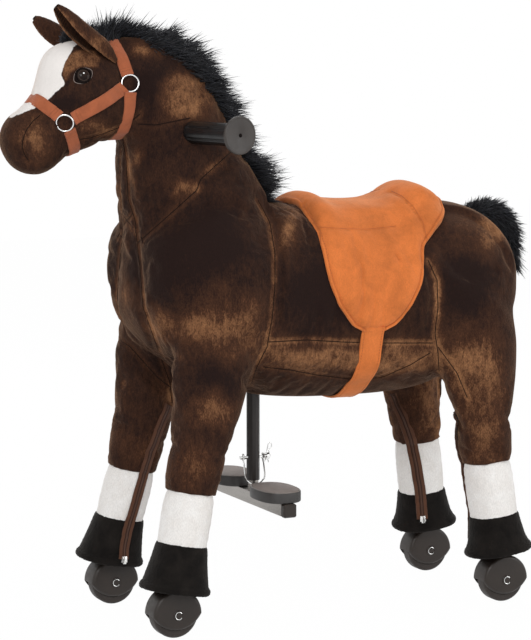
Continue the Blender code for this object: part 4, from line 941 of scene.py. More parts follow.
def plywood():
    made, tree, shader, place = new_material("sanded_plywood")
    grain = speckle(tree, stretched(tree, place, (60.0, 5.0, 60.0)), 2.0, 5.0, 0.65, 1.2)
    layers = add(tree, "ShaderNodeTexWave", {"Vector": stretched(tree, place, (0.0, 0.0, 1.0)), "Scale": 110.0}, wave_type="BANDS", bands_direction="Z").outputs[1]
    base = mix_colour(tree, spread(tree, grain, 0.3, 0.7), rgba((0.66, 0.47, 0.27)), rgba((0.45, 0.28, 0.13)))
    base = mix_colour(tree, spread(tree, layers, 0.4, 0.6, 0.0, 0.2), base, rgba((0.30, 0.17, 0.08)))
    connect(tree, shader, "Base Color", base)
    shader.inputs["Roughness"].default_value = 0.7
    bump(tree, shader, grain, 0.0002, 0.6)
    return made


def glass_eye():
    made, tree, shader, place = new_material("glass_eye")
    cloud = speckle(tree, place, 90.0, 2.0)
    base = mix_colour(tree, spread(tree, cloud, 0.3, 0.7), rgba((0.006, 0.004, 0.004)), rgba((0.020, 0.011, 0.007)))
    connect(tree, shader, "Base Color", base)
    connect(tree, shader, "Roughness", spread(tree, cloud, 0.3, 0.7, 0.03, 0.06))
    shader.inputs["Specular IOR Level"].default_value = 0.10
    return made


def floor_material():
    made, tree, shader, place = new_material("studio_floor")
    shader.inputs["Base Color"].default_value = rgba((0.93, 0.93, 0.93))
    shader.inputs["Roughness"].default_value = 0.9
    path = add(tree, "ShaderNodeLightPath").outputs
    seen = math_node(tree, "ADD", path["Is Camera Ray"], path["Is Glossy Ray"], clamp=True)
    seen = math_node(tree, "ADD", seen, path["Is Transmission Ray"], clamp=True)
    glow = add(tree, "ShaderNodeEmission", {"Color": (1, 1, 1, 1), "Strength": 1.0})
    share = math_node(tree, "MULTIPLY", seen, 0.985)
    mix = add(tree, "ShaderNodeMixShader", {0: share})
    tree.links.new(shader.outputs[0], mix.inputs[1])
    tree.links.new(glow.outputs[0], mix.inputs[2])
    tree.links.new(mix.outputs[0], tree.nodes["Material Output"].inputs["Surface"])
    return made


def white_plush():
    return plain_plush("white_short_plush", (0.80, 0.768, 0.735), (0.87, 0.853, 0.832), 0.4, (1.0, 0.97, 0.94))


def black_plush():
    return plain_plush("black_short_plush", (0.0052, 0.0042, 0.0037), (0.013, 0.0105, 0.009), 0.2, (0.5, 0.48, 0.46))


def dark_lining():
    return plain_plush("dark_lining_plush", (0.010, 0.006, 0.005), (0.030, 0.014, 0.008), 0.3, (0.5, 0.4, 0.34))


FINISHES = {
    "brown plush": brown_plush,
    "white plush": white_plush,
    "black plush": black_plush,
    "dark lining": dark_lining,
    "black fur": black_fur,
    "felt": orange_felt,
    "webbing": lambda: tape("rust_webbing", bpy.context.scene.horse_colours.webbing, 0.018),
    "zip tape": lambda: tape("brown_zip_tape", (0.105, 0.040, 0.019), 0.017, lines=True),
    "zip coil": lambda: plastic("zip_coil", (0.060, 0.022, 0.011), 0.6, 1500.0),
    "felt thread": lambda: plastic("saddle_thread", (0.46, 0.12, 0.025), 0.7, 1500.0),
    "thread": lambda: plastic("sewing_thread", (0.30, 0.085, 0.030), 0.7, 1500.0),
    "zip metal": lambda: metal("nickel_slider", (0.86, 0.85, 0.83), 0.22),
    "silver": lambda: metal("polished_ring", (0.88, 0.88, 0.87), 0.16),
    "zinc": lambda: metal("zinc_plate", (0.34, 0.32, 0.30), 0.30, (1.0, 8.0, 14.0)),
    "black plastic": lambda: dulled(plastic("charcoal_plastic", (0.023, 0.0162, 0.0125), 0.44), 0.38),
    "tread": lambda: dulled(plastic("wheel_tread", (0.026, 0.0192, 0.0158), 0.56, 500.0), 0.38),
    "grip": lambda: plastic("grip_rubber", (0.0055, 0.0055, 0.006), 0.34, 1200.0),
    "grip disc": lambda: plastic("grip_disc_plastic", (0.038, 0.031, 0.027), 0.5, 1200.0),
    "pedal": lambda: plastic("pedal_plastic", (0.040, 0.037, 0.036), 0.46),
    "pedal tread": lambda: plastic("pedal_tread_grit", (0.25, 0.21, 0.19), 0.72, 420.0, 0.0006),
    # Colour of the painted highlight round the pedal's edge.
    "pedal rim": lambda: plastic("pedal_rim_painted_highlight", (0.24, 0.21, 0.19), 0.5),
    "black steel": lambda: dulled(coated_steel("black_powder_coat", (0.015, 0.0098, 0.0078)), 0.32),
    "plywood": plywood,
    "eye": glass_eye,
    "eye lid": lambda: dulled(plastic("eye_lid", (0.006, 0.0035, 0.003), 0.8), 0.08),
    "eye rim": lambda: plastic("eye_rim", (0.21, 0.165, 0.145), 0.5),
    "iris": lambda: dulled(plastic("eye_iris", (0.040, 0.026, 0.020), 0.6), 0.1),
    # A white disc that paints the eye's reflection.
    "catchlight": lambda: plastic("eye_painted_catchlight", (0.95, 0.95, 0.95), 0.3),
    "floor": floor_material,
}
READY = {}


def material(name):
    if name not in READY:
        READY[name] = FINISHES[name]()
    return READY[name]


# Plush forms
def leg_line(end, side):
    top = Vector((side * HIP_X, pivot(end).y, pivot(end).z))
    return (top - hub(end, side)).normalized()


def leg_frame(end, side):
    """Directions along the leg, ahead and across."""
    along = leg_line(end, side)
    ahead = (-Y_AXIS - along * along.dot(-Y_AXIS)).normalized()
    return along, ahead, along.cross(ahead)


def limb_section(end, side, distance, half_depth, forward, half_width, outward, count=8):
    along, ahead, across = leg_frame(end, side)
    centre = hub(end, side) + along * distance + ahead * forward + X_AXIS * side * outward
    return oval(centre, across, ahead, half_width, half_depth, half_depth, count)


def head_axes():
    ahead = Vector((0, -math.cos(HEAD_PITCH), -math.sin(HEAD_PITCH)))
    return ahead, Vector((0, -math.sin(HEAD_PITCH), math.cos(HEAD_PITCH)))


def barrel_rings():
    rings = []
    for y, top, bottom, half_width in BARREL:
        reach = (top - bottom) / 2
        rings.append(oval(at(0, y, (top + bottom) / 2), X_AXIS, Z_AXIS, half_width, reach, reach, 12, 2.5))
    return rings


def neck_rings():
    rings = []
    for front, back, z, half_width in NECK:
        reach = (back - front) / 2
        rings.append(oval(at(0, (front + back) / 2, z), X_AXIS, -Y_AXIS, half_width, reach, reach, 10))
    return rings


def head_rings():
    ahead, upward = head_axes()
    rings = []
    for along, up, down, half_width in HEAD:
        rings.append(oval(at(*HEAD_BACK) + ahead * along, X_AXIS, upward, half_width, up, down, 12, 2.1))
    return rings


def leg_rings(end, side):
    stations = FORELEG if end == FRONT else HINDLEG
    return [limb_section(end, side, *station) for station in stations]


# Seams, as tracks of image places on the near side. Each has its depth and the strength of the painted highlight beside
# it.
SEAMS = {
    "chest": ((122, 136), (126, 160), (128, 200), (135, 220), (137, 243), (140, 270), (143, 307), (157, 347), (170, 383), (172, 403)),
    "neck fold": ((236, 148), (222, 160), (200, 180), (197, 190), (167, 217), (137, 243)),
    "shoulder": ((258, 200), (270, 223), (275, 253), (275, 287), (272, 320), (267, 347), (257, 367), (247, 397)),
    "chest bottom": ((112, 335), (130, 347), (157, 377), (170, 387)),
    "flank": ((268, 342), (307, 340), (343, 342), (383, 343), (433, 343)),
    "haunch": ((428, 260), (437, 280), (438, 307), (435, 333), (438, 353), (440, 387), (442, 430)),
    "haunch fold": ((438, 347), (457, 373), (467, 397)),
    "jaw": ((74, 140), (90, 138), (108, 132), (128, 124), (140, 114)),
    "handle fold": ((138, 124), (156, 125), (176, 121), (190, 118)),
    "nostril": ((40, 115), (33, 121), (27, 129), (23.5, 137), (22, 146), (24.5, 155), (29, 161)),
    "belly zip": ((263, 367), (290, 370), (317, 375), (357, 380), (383, 377), (410, 365), (430, 353)),
    "small fold": ((117, 238), (124, 224), (133, 213)),
}
SEAM_DEPTH = {"neck fold": 0.7, "handle fold": 0.5, "jaw": 0.6, "nostril": 1.2, "belly zip": 0.6, "small fold": 0.6, "haunch fold": 0.9}
# How strong the painted highlight beside each seam is.
SEAM_HIGHLIGHT = {"nostril": 0.0, "belly zip": 0.4, "jaw": 0.6, "neck fold": 0.45, "handle fold": 0.3, "chest bottom": 0.5}
# Painted highlights on the nap: place, reach across and up in the image, and strength.
NAP_PAINTED_HIGHLIGHTS = (
    (192, 103, 24, 17, 0.75), (142, 51, 13, 7, 0.55), (196, 80, 26, 7, 0.45), (134, 176, 4, 22, 0.55),
    (188, 190, 14, 8, 0.55), (215, 168, 16, 5, 0.25), (160, 322, 14, 12, 0.45), (218, 330, 44, 17, 0.60),
    (212, 412, 30, 14, 0.40), (232, 305, 30, 20, 0.25), (290, 226, 10, 28, 0.55), (120, 285, 9, 48, 0.40),
    (352, 358, 90, 15, 0.85), (437, 297, 5, 32, 0.60), (474, 372, 28, 44, 0.55), (490, 232, 9, 10, 0.45),
    (486, 440, 26, 26, 0.45), (195, 465, 28, 22, 0.30), (30, 138, 24, 26, 0.42), (90, 128, 30, 10, 0.25), (482, 236, 30, 22, 0.34),
    (112, 128, 16, 8, 0.30), (132, 420, 22, 46, 0.28), (416, 420, 26, 30, 0.28), (470, 222, 24, 10, 0.15),
)
# Painted shade on the nap, laid out in the same way.
NAP_PAINTED_SHADE = (
    (165, 262, 30, 30, 0.25), (215, 240, 26, 36, 0.22), (330, 290, 40, 34, 0.25), (150, 90, 12, 20, 0.25),
    (465, 280, 22, 40, 0.22), (42, 128, 7, 14, 0.20), (215, 375, 30, 14, 0.15), (60, 108, 22, 6, 0.2),
)
BROW = ((62, 72), (65, 62), (72, 54), (84, 49), (95, 52), (99, 59), (97, 66), (90, 66), (80, 66), (70, 72), (66, 80))
BLAZE = (
    (84, 38), (74, 47), (68.5, 56), (64, 65), (61.5, 75), (65, 84), (56, 92), (48, 100), (36, 107.5),
    (22, 113), (11, 117.5), (-10, 118), (-30, 60), (40, 10), (84, 20),
)
MM_PER_IMAGE_UNIT = 0.0015


def paint(mesh, far, glow):
    """Puts the nap's light and dark places, the seams' glow and the blaze into the mesh."""
    co = points_of(mesh)
    places = image_place(co)
    warp = np.array([noise.noise_vector(Vector(place) * 22) for place in co])
    places = places + warp[:, :2] * 11
    tone_and_painted_light = np.full(len(co), 0.15)
    # Painted highlights and painted shade on the nap, at their places in the image.
    for sign, spots in ((1, NAP_PAINTED_HIGHLIGHTS), (-1, NAP_PAINTED_SHADE)):
        for u, v, across, upward, strength in spots:
            near = ((places[:, 0] - u) / across) ** 2 + ((places[:, 1] - v) / upward) ** 2
            tone_and_painted_light += sign * strength * np.exp(-near)
    tone_and_painted_light = np.clip(tone_and_painted_light, 0.0, 0.75)
    # A painted highlight in a band beside each seam.
    tone_and_painted_light += 0.34 * glow * np.exp(-((far - 0.0038) / 0.0026) ** 2)
    places = places - warp[:, :2] * 11
    brow = inside_outline(places, BROW)
    tone_and_painted_light = np.where(brow > -3, np.maximum(tone_and_painted_light, 0.62 * np.clip(brow / 3 + 1, 0, 1)), tone_and_painted_light)
    put_attribute(mesh, "tone_and_painted_light", tone_and_painted_light)
    # Painted shade along the seams.
    put_attribute(mesh, "shade", np.exp(-(far / 0.0017) ** 2) * 0.6)
    put_attribute(mesh, "blaze", inside_outline(places, BLAZE) * MM_PER_IMAGE_UNIT)


def seam_points(tree):
    points, strengths, seam_highlights = [], [], []
    for name, track in SEAMS.items():
        for hit, _ in seen_on(tree, track):
            for side in (1, -1):
                points.append((hit.x * side, hit.y, hit.z))
                strengths.append(SEAM_DEPTH.get(name, 1.0))
                seam_highlights.append(SEAM_HIGHLIGHT.get(name, 1.0))
    return points, np.array(strengths), np.array(seam_highlights)


def shade_and_zip_cords(tree):
    """A thin dark cord in each seam, so that the line between two panels is crisp."""
    cords = []
    for name, track in SEAMS.items():
        hits = [hit for hit, _ in seen_on(tree, track, 2.0)]
        breaks = [i + 1 for i, (a, b) in enumerate(zip(hits, hits[1:])) if (b - a).length > SEAM_JUMP]
        for first, last in zip([0] + breaks, breaks + [len(hits)]):
            run = hits[first:last]
            if len(run) < 6:
                continue
            for side in (1, -1):
                line = through([Vector((hit.x * side, hit.y, hit.z)) for hit in run[:-1:3] + run[-1:]], len(run))
                cords.append(tube("seam", line, SEAM_CORD, resolution=1))
    cord = joined("seam shade and zip cords", cords)
    for name, value in (("tone_and_painted_light", 0.1), ("shade", 0.8), ("blaze", -0.05)):
        put_attribute(cord.data, name, np.full(len(cord.data.vertices), value))
    return cord


# Radius of the dark cords that paint the seams' shade.
SEAM_CORD = 0.0007
# A longer step between two points of a seam is a jump to another part of the body.
SEAM_JUMP = 0.011


def plumped(skin, held):
    """Lets the stuffing press the cloth out between its seams, as a cloth simulation with its result kept."""
    group = skin.vertex_groups.new(name="held")
    for weight in (0.25, 0.5, 0.75, 1.0):
        chosen = np.nonzero((held > weight - 0.125) & (held <= weight + 0.126))[0]
        group.add([int(i) for i in chosen], weight, "REPLACE")
    before = points_of(skin.data)
    choose(skin)
    cloth = skin.modifiers.new("Cloth", "CLOTH")
    cloth.settings.quality = 4
    cloth.settings.mass = 0.3
    cloth.settings.tension_stiffness = cloth.settings.compression_stiffness = 12
    cloth.settings.shear_stiffness = 4
    cloth.settings.bending_stiffness = 0.4
    cloth.settings.vertex_group_mass = "held"
    cloth.settings.use_pressure = True
    cloth.settings.uniform_pressure_force = 4
    cloth.settings.shrink_min = -0.035
    cloth.settings.effector_weights.gravity = 0
    cloth.collision_settings.use_collision = False
    cloth.collision_settings.use_self_collision = False
    scene = bpy.context.scene
    cloth.point_cache.frame_start, cloth.point_cache.frame_end = 1, 20
    for step in range(1, 21):
        scene.frame_set(step)
    bpy.ops.object.modifier_apply(modifier=cloth.name)
    scene.frame_set(1)
    skin.vertex_groups.clear()
    moved = points_of(skin.data) - before
    length = np.linalg.norm(moved, axis=1)
    share = np.minimum(1.0, PLUMP_CAP / np.maximum(length, 1e-9))
    put_points(skin.data, before + moved * share[:, None])
    print("plumped by", round(float(length.mean()) * 1000, 2), "mm on average, at most", round(float(length.max()) * 1000, 1))


PLUMP_CAP = 0.006


def make_skin():
    sizes = bpy.context.scene.horse_sizes
    forms = [stuffed("barrel", barrel_rings()), stuffed("neck", neck_rings()), stuffed("head", head_rings())]
    forms += [stuffed("leg", leg_rings(end, side), flat_ends=True) for end, side in CORNERS]
    trees = [placed_tree([obj]) for obj in forms]
    skin = joined("skin", forms)
    skin.data.remesh_voxel_size = sizes.plush_voxel
    choose(skin)
    bpy.ops.object.voxel_remesh()
    mesh = skin.data
    co, pairs = points_of(mesh), edges_of(mesh)
    near = np.array([[tree.find_nearest(place)[3] for tree in trees] for place in co])
    second = np.sort(near, axis=1)[:, 1]
    junction = np.clip(1 - second / 0.030, 0, 1)
    co = evened(co, pairs, np.full(len(co), 0.5), 4)
    co = evened(co, pairs, 0.5 * junction, 60)
    put_points(mesh, co)
    tree = placed_tree([skin])
    points, strengths, seam_highlights = seam_points(tree)
    far, which = nearest(points, co)
    depth = sizes.seam_depth * strengths[which]
    draw = depth * (0.55 * np.exp(-(far / 0.004) ** 2) + 0.75 * np.exp(-(far / 0.013) ** 2))
    normals = normals_of(mesh)
    put_points(mesh, co - normals * draw[:, None])
    low = np.array([co[:, 2] < 0.222, far < 0.0045]).any(axis=0)
    held = np.where(low, 1.0, 0.0)
    held = np.maximum(held, np.exp(-((far - 0.004) / 0.010) ** 2) * 0.5)
    plumped(skin, held)
    subdivided(skin, 1)
    mesh = skin.data
    far, which = nearest(points, points_of(mesh))
    paint(mesh, far, seam_highlights[which])
    MADE["skin tree"] = placed_tree([skin])
    MADE["skin"] = joined("skin", [skin, shade_and_zip_cords(MADE["skin tree"])])


def bend(obj):
    """Lets a piece bend from the body to a pair of legs, as the skin does."""
    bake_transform(obj)


def split_skin():
    """Cuts the skin under the girth, so that each half bends with its own pair of legs."""
    skin = need(MADE.get("skin"), "the skin is made first")
    halves = {}
    for end in (FRONT, HIND):
        obj = skin.copy()
        obj.data = skin.data.copy()
        bpy.context.scene.collection.objects.link(obj)
        choose(obj)
        bpy.ops.object.mode_set(mode="EDIT")
        bpy.ops.mesh.select_all(action="SELECT")
        bpy.ops.mesh.bisect(
            plane_co=at(0, CUT_Y, 0), plane_no=(0, 1, 0), use_fill=True,
            clear_outer=end == FRONT, clear_inner=end == HIND,
        )
        bpy.ops.object.mode_set(mode="OBJECT")
        halves[end] = finish_piece(obj, f"{END_WORDS[end]}_skin", "brown plush")
    bpy.data.objects.remove(skin, do_unlink=True)
    for end, obj in halves.items():
        bend(obj)
        word = LIMB_WORDS[end]
        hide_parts(f"{word}_left", f"{word}_right")
        MADE[f"skin {end}"] = obj
    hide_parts("torso", "neck", "head")
    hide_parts("belly_panel")


CUT_Y = 0.045


# How far the hem of a cuff leads or trails its wheel.
LEAD = {(FRONT, LEFT): 0.005, (FRONT, RIGHT): 0.014, (HIND, LEFT): -0.002, (HIND, RIGHT): -0.001}


def make_socks():
    for end, side in CORNERS:
        body = f"{END_WORDS[end]}_legs"
        word, hand = LIMB_WORDS[end], SIDE_WORDS[side]
        _, half_depth, forward, half_width, outward = (FORELEG if end == FRONT else HINDLEG)[0]
        lead = LEAD[end, side]
        lift = 0.010 if end == HIND else 0.0
        rings = []
        for distance, grow in ((0.092, -0.001), (0.110, 0.0), (0.145, 0.0005), (0.170, -0.0005), (0.186, -0.006)):
            distance += lift * (distance > 0.15)
            ahead = forward + lead * max(0.0, (SOCK_TOP - distance) / SOCK_TOP)
            rings.append(limb_section(end, side, distance, half_depth + grow, ahead, half_width + grow, outward, 12))
        sock = fuzzed(stuffed("sock", rings, 3, flat_ends=True), 0.0009, 150)
        sock = finish_piece(sock, f"{word}_sock_{hand}_plush", "white plush")
        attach(sock, body)
        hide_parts(f"{word}_sock_{hand}")
        rings = []
        skirt = ((0.1000, -0.0080), (0.1015, -0.0005), (0.0995, 0.0018), (0.0850, 0.0036), (0.0600, 0.0085), (0.0460, 0.0118))
        skirt += ((0.0428, 0.0122), (0.0405, 0.0152), (0.0365, 0.0168), (0.0325, 0.0158), (0.0305, 0.0125), (0.0330, 0.0098))
        skirt += ((0.0440, 0.0072), (0.0600, 0.0030), (0.0800, -0.0070))
        for distance, grow in skirt:
            distance += lift * (distance < 0.05)
            ahead = forward + lead * (SOCK_TOP - distance) / SOCK_TOP
            rings.append(limb_section(end, side, distance, half_depth + grow, ahead, half_width + grow * 0.7, outward, 16))
        cuff = fuzzed(stuffed("cuff", rings, 3), 0.0007, 420)
        cuff = finish_piece(cuff, f"{word}_cuff_{hand}_plush", "black plush")
        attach(cuff, body)
        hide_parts(f"{word}_hoof_{hand}")
        MADE[end, side] = [sock, cuff]


# Ears and eyes
EAR_ROOT = (0.040, -0.350, 0.850)
EAR_TIP = (0.046, -0.418, 0.9075)
# An ear station is: place along it, half width and half depth.
EAR_LEAF = (
    (-0.36, 0.0050, 0.0060),
    (-0.18, 0.0105, 0.0120),
    (0.0, 0.0135, 0.0155),
    (0.33, 0.0138, 0.0162),
    (0.62, 0.0128, 0.0152),
    (0.80, 0.0108, 0.0124),
    (0.93, 0.0078, 0.0088),
    (1.0, 0.0050, 0.0056),
)
EAR_WALL = 0.0034


def make_ears():
    """Leaf-shaped ears, each folded round a dark slit that opens ahead."""
    for side in (LEFT, RIGHT):
        root = at(EAR_ROOT[0] * side, *EAR_ROOT[1:])
        tip = at(EAR_TIP[0] * side, EAR_TIP[1], EAR_TIP[2] - (0.017 if side == RIGHT else 0.0))
        along = (tip - root).normalized()
        out = (X_AXIS * side - along * along.dot(X_AXIS * side)).normalized()
        back = out.cross(along) * side
        if back.z < 0:
            back = -back
        steps, lanes = 28, 28
        outer, inner = [], []
        for i in range(steps + 1):
            share = -0.36 + 1.36 * i / steps
            width, depth = smooth_table(EAR_LEAF, share)
            line = root + along * (tip - root).length * share - back * 0.003 * math.sin(math.pi * max(0.0, share))
            reach = math.radians(156 - 22 * max(0.0, share))
            thin = min(1.0, (1.03 - share) * 6)
            for j in range(lanes + 1):
                v = 2 * j / lanes - 1
                angle = reach * v - math.radians(34)
                place = line + back * math.cos(angle) * depth + out * math.sin(angle) * width
                normal = (back * math.cos(angle) * width + out * math.sin(angle) * depth).normalized()
                rim = 1.0 - 0.45 * abs(v) ** 6
                outer.append(place)
                inner.append(place - normal * EAR_WALL * rim * thin)
        rows, size = lanes + 1, len(outer)
        faces = []
        for i in range(steps):
            for j in range(lanes):
                a = i * rows + j
                faces.append((a, a + 1, a + rows + 1, a + rows))
                faces.append((size + a, size + a + rows, size + a + rows + 1, size + a + 1))
            for a, b in ((i * rows, (i + 1) * rows), (i * rows + lanes, (i + 1) * rows + lanes)):
                faces.append((a, b, size + b, size + a))
        for i in (0, steps):
            for j in range(lanes):
                a = i * rows + j
                faces.append((a, a + 1, size + a + 1, size + a))
        obj = fix_normals(mesh_piece("ear", outer + inner, faces))
        tree = KDTree(size)
        for i, place in enumerate(inner):
            tree.insert(place, i)
        tree.balance()
        subdivided(obj, 1)
        co = points_of(obj.data)
        lined, rimmed = [], []
        for place in co:
            _, index, far = tree.find(place)
            v = abs(2 * (index % rows) / lanes - 1)
            lined.append(1.0 if far < EAR_WALL * 0.3 and v < 0.93 else 0.0)
            rimmed.append(max(0.0, (v - 0.80) / 0.20))
        # The ear is lighter towards the rims of its leaf, and a painted highlight lies on one spot placed by its image
        # position.
        places = image_place(co)
        spot = np.exp(-((places[:, 0] - 99) / 10) ** 2 - ((places[:, 1] - 42) / 8) ** 2)
        put_attribute(obj.data, "tone_and_painted_light", 0.26 + 0.36 * np.array(rimmed) + 0.30 * spot)
        put_attribute(obj.data, "shade", np.array(lined) * 0.85)
        put_attribute(obj.data, "blaze", np.full(len(co), -0.05))
        ear = finish_piece(fuzzed(obj, 0.0005, 300), f"ear_{SIDE_WORDS[side]}_plush", "brown plush")
        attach(ear, "horse")
        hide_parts(f"ear_{SIDE_WORDS[side]}")


EYE_SPOT = (83.2, 76.0)
EYE_RADIUS = 0.0098


def eye_line(tree, place, out, ahead, width, height, pointed, lift, count=72):
    """An almond line round the eye, laid on the face."""
    up = out.cross(ahead).normalized()
    if up.z < 0:
        up = -up
    points = []
    for i in range(count):
        angle = 2 * math.pi * i / count
        c, s = math.cos(angle), math.sin(angle)
        x = math.copysign(abs(c) ** pointed, c) * width
        y = math.copysign(abs(s) ** (2 - pointed * 0.6), s) * height * (0.9 if s < 0 else 1.0)
        start = place + ahead * x + up * y + out * 0.03
        hit, _, _, _ = tree.ray_cast(start, -out)
        points.append((hit if hit is not None else start - out * 0.03) + out * lift)
    return points


def make_eyes():
    tree = need(MADE.get("skin tree"), "the skin is made first")
    hit, normal = seen_on(tree, (EYE_SPOT, (EYE_SPOT[0] + 0.1, EYE_SPOT[1])))[0]
    ahead_of_head, _ = head_axes()
    for side in (LEFT, RIGHT):
        place = Vector((hit.x * side, hit.y, hit.z))
        out = Vector((normal.x * side, normal.y, normal.z)).normalized()
        ahead = (ahead_of_head - out * out.dot(ahead_of_head)).normalized()
        clear_selection()
        bpy.ops.mesh.primitive_uv_sphere_add(segments=48, ring_count=28, radius=EYE_RADIUS)
        ball = bpy.context.object
        bpy.ops.object.mode_set(mode="EDIT")
        bpy.ops.mesh.select_all(action="SELECT")
        bpy.ops.transform.resize(value=(1.0, 1.0, 0.55))
        bpy.ops.object.mode_set(mode="OBJECT")
        turn = Z_AXIS.rotation_difference(out).to_matrix().to_4x4()
        ball.data.transform(Matrix.Translation(place + out * 0.0008) @ turn)
        ball = finish_piece(ball, f"eye_{SIDE_WORDS[side]}_glass", "eye")
        lid = tube("lid", eye_line(tree, place, out, ahead, 0.0118, 0.0102, 0.95, 0.0010), 0.0019, closed=True)
        lid = finish_piece(lid, f"eye_{SIDE_WORDS[side]}_lid", "eye lid")
        rim = tube("rim", eye_line(tree, place, out, ahead, 0.0152, 0.0118, 1.15, 0.0006), 0.0005, closed=True)
        rim = finish_piece(rim, f"eye_{SIDE_WORDS[side]}_rim", "eye rim")
        iris = ring_at("iris", place + out * 0.0040, out, EYE_RADIUS * 0.76, 0.0007)
        iris = finish_piece(iris, f"eye_{SIDE_WORDS[side]}_iris", "iris")
        # A small white disc on the eye: a painted reflection of the lamps.
        painted_glint = cylinder(place + out * 0.0050 + Z_AXIS * 0.0026, place + out * 0.0062 + Z_AXIS * 0.0027, 0.0012, 24)
        painted_glint = finish_piece(rounded(painted_glint, 0.0004, 2), f"eye_{SIDE_WORDS[side]}_glint", "catchlight")
        for piece in (ball, lid, rim, iris, painted_glint):
            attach(piece, "horse")
        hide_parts(f"eye_{SIDE_WORDS[side]}")


# Mane and tail
def tufts(name, roots, directions, lengths, widths, droop, seed, segments=5):
    """Tapered locks of hair, each a curved three-sided spike."""
    rng = np.random.default_rng(seed)
    roots, directions = np.array(roots), np.array(directions)
    directions /= np.linalg.norm(directions, axis=1)[:, None]
    count = len(roots)
    lengths, widths = np.array(lengths)[:, None], np.array(widths)[:, None]
    side = np.cross(directions, rng.normal(size=(count, 3)))
    side /= np.linalg.norm(side, axis=1)[:, None]
    other = np.cross(directions, side)
    sway = rng.normal(size=(count, 3)) * 0.12
    vertices = np.empty((count, segments * 3 + 1, 3))
    along = np.empty((count, segments * 3 + 1))
    for s in range(segments + 1):
        t = s / segments
        centre = roots + directions * lengths * t + sway * lengths * t * t + np.array(droop) * lengths * t * t
        if s == segments:
            vertices[:, -1] = centre
            along[:, -1] = 1.0
            break
        radius = widths * (1 - t) ** 0.7 * (0.75 + 0.5 * t * (1 - t))
        for k in range(3):
            angle = 2 * math.pi * k / 3 + t
            ring = side * math.cos(angle) + other * 0.55 * math.sin(angle)
            vertices[:, s * 3 + k] = centre + ring * radius
            along[:, s * 3 + k] = t
    faces = []
    size = segments * 3 + 1
    pattern = [(2, 1, 0)]
    for s in range(segments - 1):
        for k in range(3):
            a, b = s * 3 + k, s * 3 + (k + 1) % 3
            pattern.append((a, b, b + 3, a + 3))
    last = (segments - 1) * 3
    pattern += [(last + k, last + (k + 1) % 3, size - 1) for k in range(3)]
    for n in range(count):
        faces += [tuple(n * size + i for i in face) for face in pattern]
    obj = mesh_piece(name, vertices.reshape(-1, 3), faces)
    put_attribute(obj.data, "along", along.ravel())
    put_attribute(obj.data, "strand", np.repeat(rng.random(count), size))
    return obj


MANE_LINE = (
    (-0.386, 0.850), (-0.356, 0.862), (-0.310, 0.865), (-0.248, 0.832), (-0.194, 0.785), (-0.150, 0.715), (-0.114, 0.655), (-0.078, 0.615),
)
MANE_LENGTH = (
    (0.0, 0.018), (0.05, 0.032), (0.12, 0.050), (0.20, 0.044), (0.28, 0.036), (0.40, 0.040), (0.52, 0.038), (0.62, 0.037),
    (0.74, 0.039), (0.86, 0.046), (0.95, 0.044), (1.0, 0.034),
)


def make_mane():
    sizes = bpy.context.scene.horse_sizes
    tree = need(MADE.get("skin tree"), "the skin is made first")
    rng = random.Random(11)
    line = through([at(0, *place) for place in MANE_LINE], 200)
    roots, directions, lengths, widths = [], [], [], []
    for _ in range(sizes.mane_locks):
        share = rng.random()
        i = min(198, int(share * 199))
        place = line[i]
        run = (line[i + 1] - line[i]).normalized()
        up = Vector((0, -run.z, run.y)).normalized()
        if up.z < 0:
            up = -up
        spread_out = 24 + 66 * min(1.0, share * 3.6) - 26 * max(0.0, share - 0.3)
        angle = rng.uniform(-1, 1) * math.radians(spread_out)
        outward = up * math.cos(angle) + X_AXIS * math.sin(angle)
        hit, normal, _, _ = tree.ray_cast(place + outward * 0.12, -outward)
        if hit is None:
            continue
        lean = 0.15 + 0.38 * min(1.0, share * 2.2)
        wild = 0.26 if rng.random() < 0.25 else 0.16
        tuft = noise.noise_vector(hit * 60)
        direction = up * 0.55 + outward * 0.7 + run * lean + tuft * 0.75 + Vector((rng.gauss(0, wild), rng.gauss(0, wild), rng.gauss(0, wild)))
        roots.append(hit - outward * 0.004)
        directions.append(direction.normalized())
        lengths.append(smooth_table(MANE_LENGTH, share)[0] * rng.uniform(0.72, 1.12) * (1 - 0.15 * abs(angle)) * (1 + 0.5 * tuft.z))
        widths.append(rng.uniform(0.0008, 0.0022))
    locks = tufts("mane", roots, directions, lengths, widths, (0, 0.10, -0.20), 4)
    mane = finish_piece(locks, "mane_locks", "black fur")
    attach(mane, "horse")
    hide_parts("mane")


TAIL_LINE = ((0.262, 0.572), (0.298, 0.588), (0.330, 0.583), (0.348, 0.560), (0.354, 0.535), (0.352, 0.515))
TAIL_LENGTH = ((0.0, 0.016), (0.3, 0.019), (0.7, 0.023), (0.9, 0.028), (1.0, 0.036))


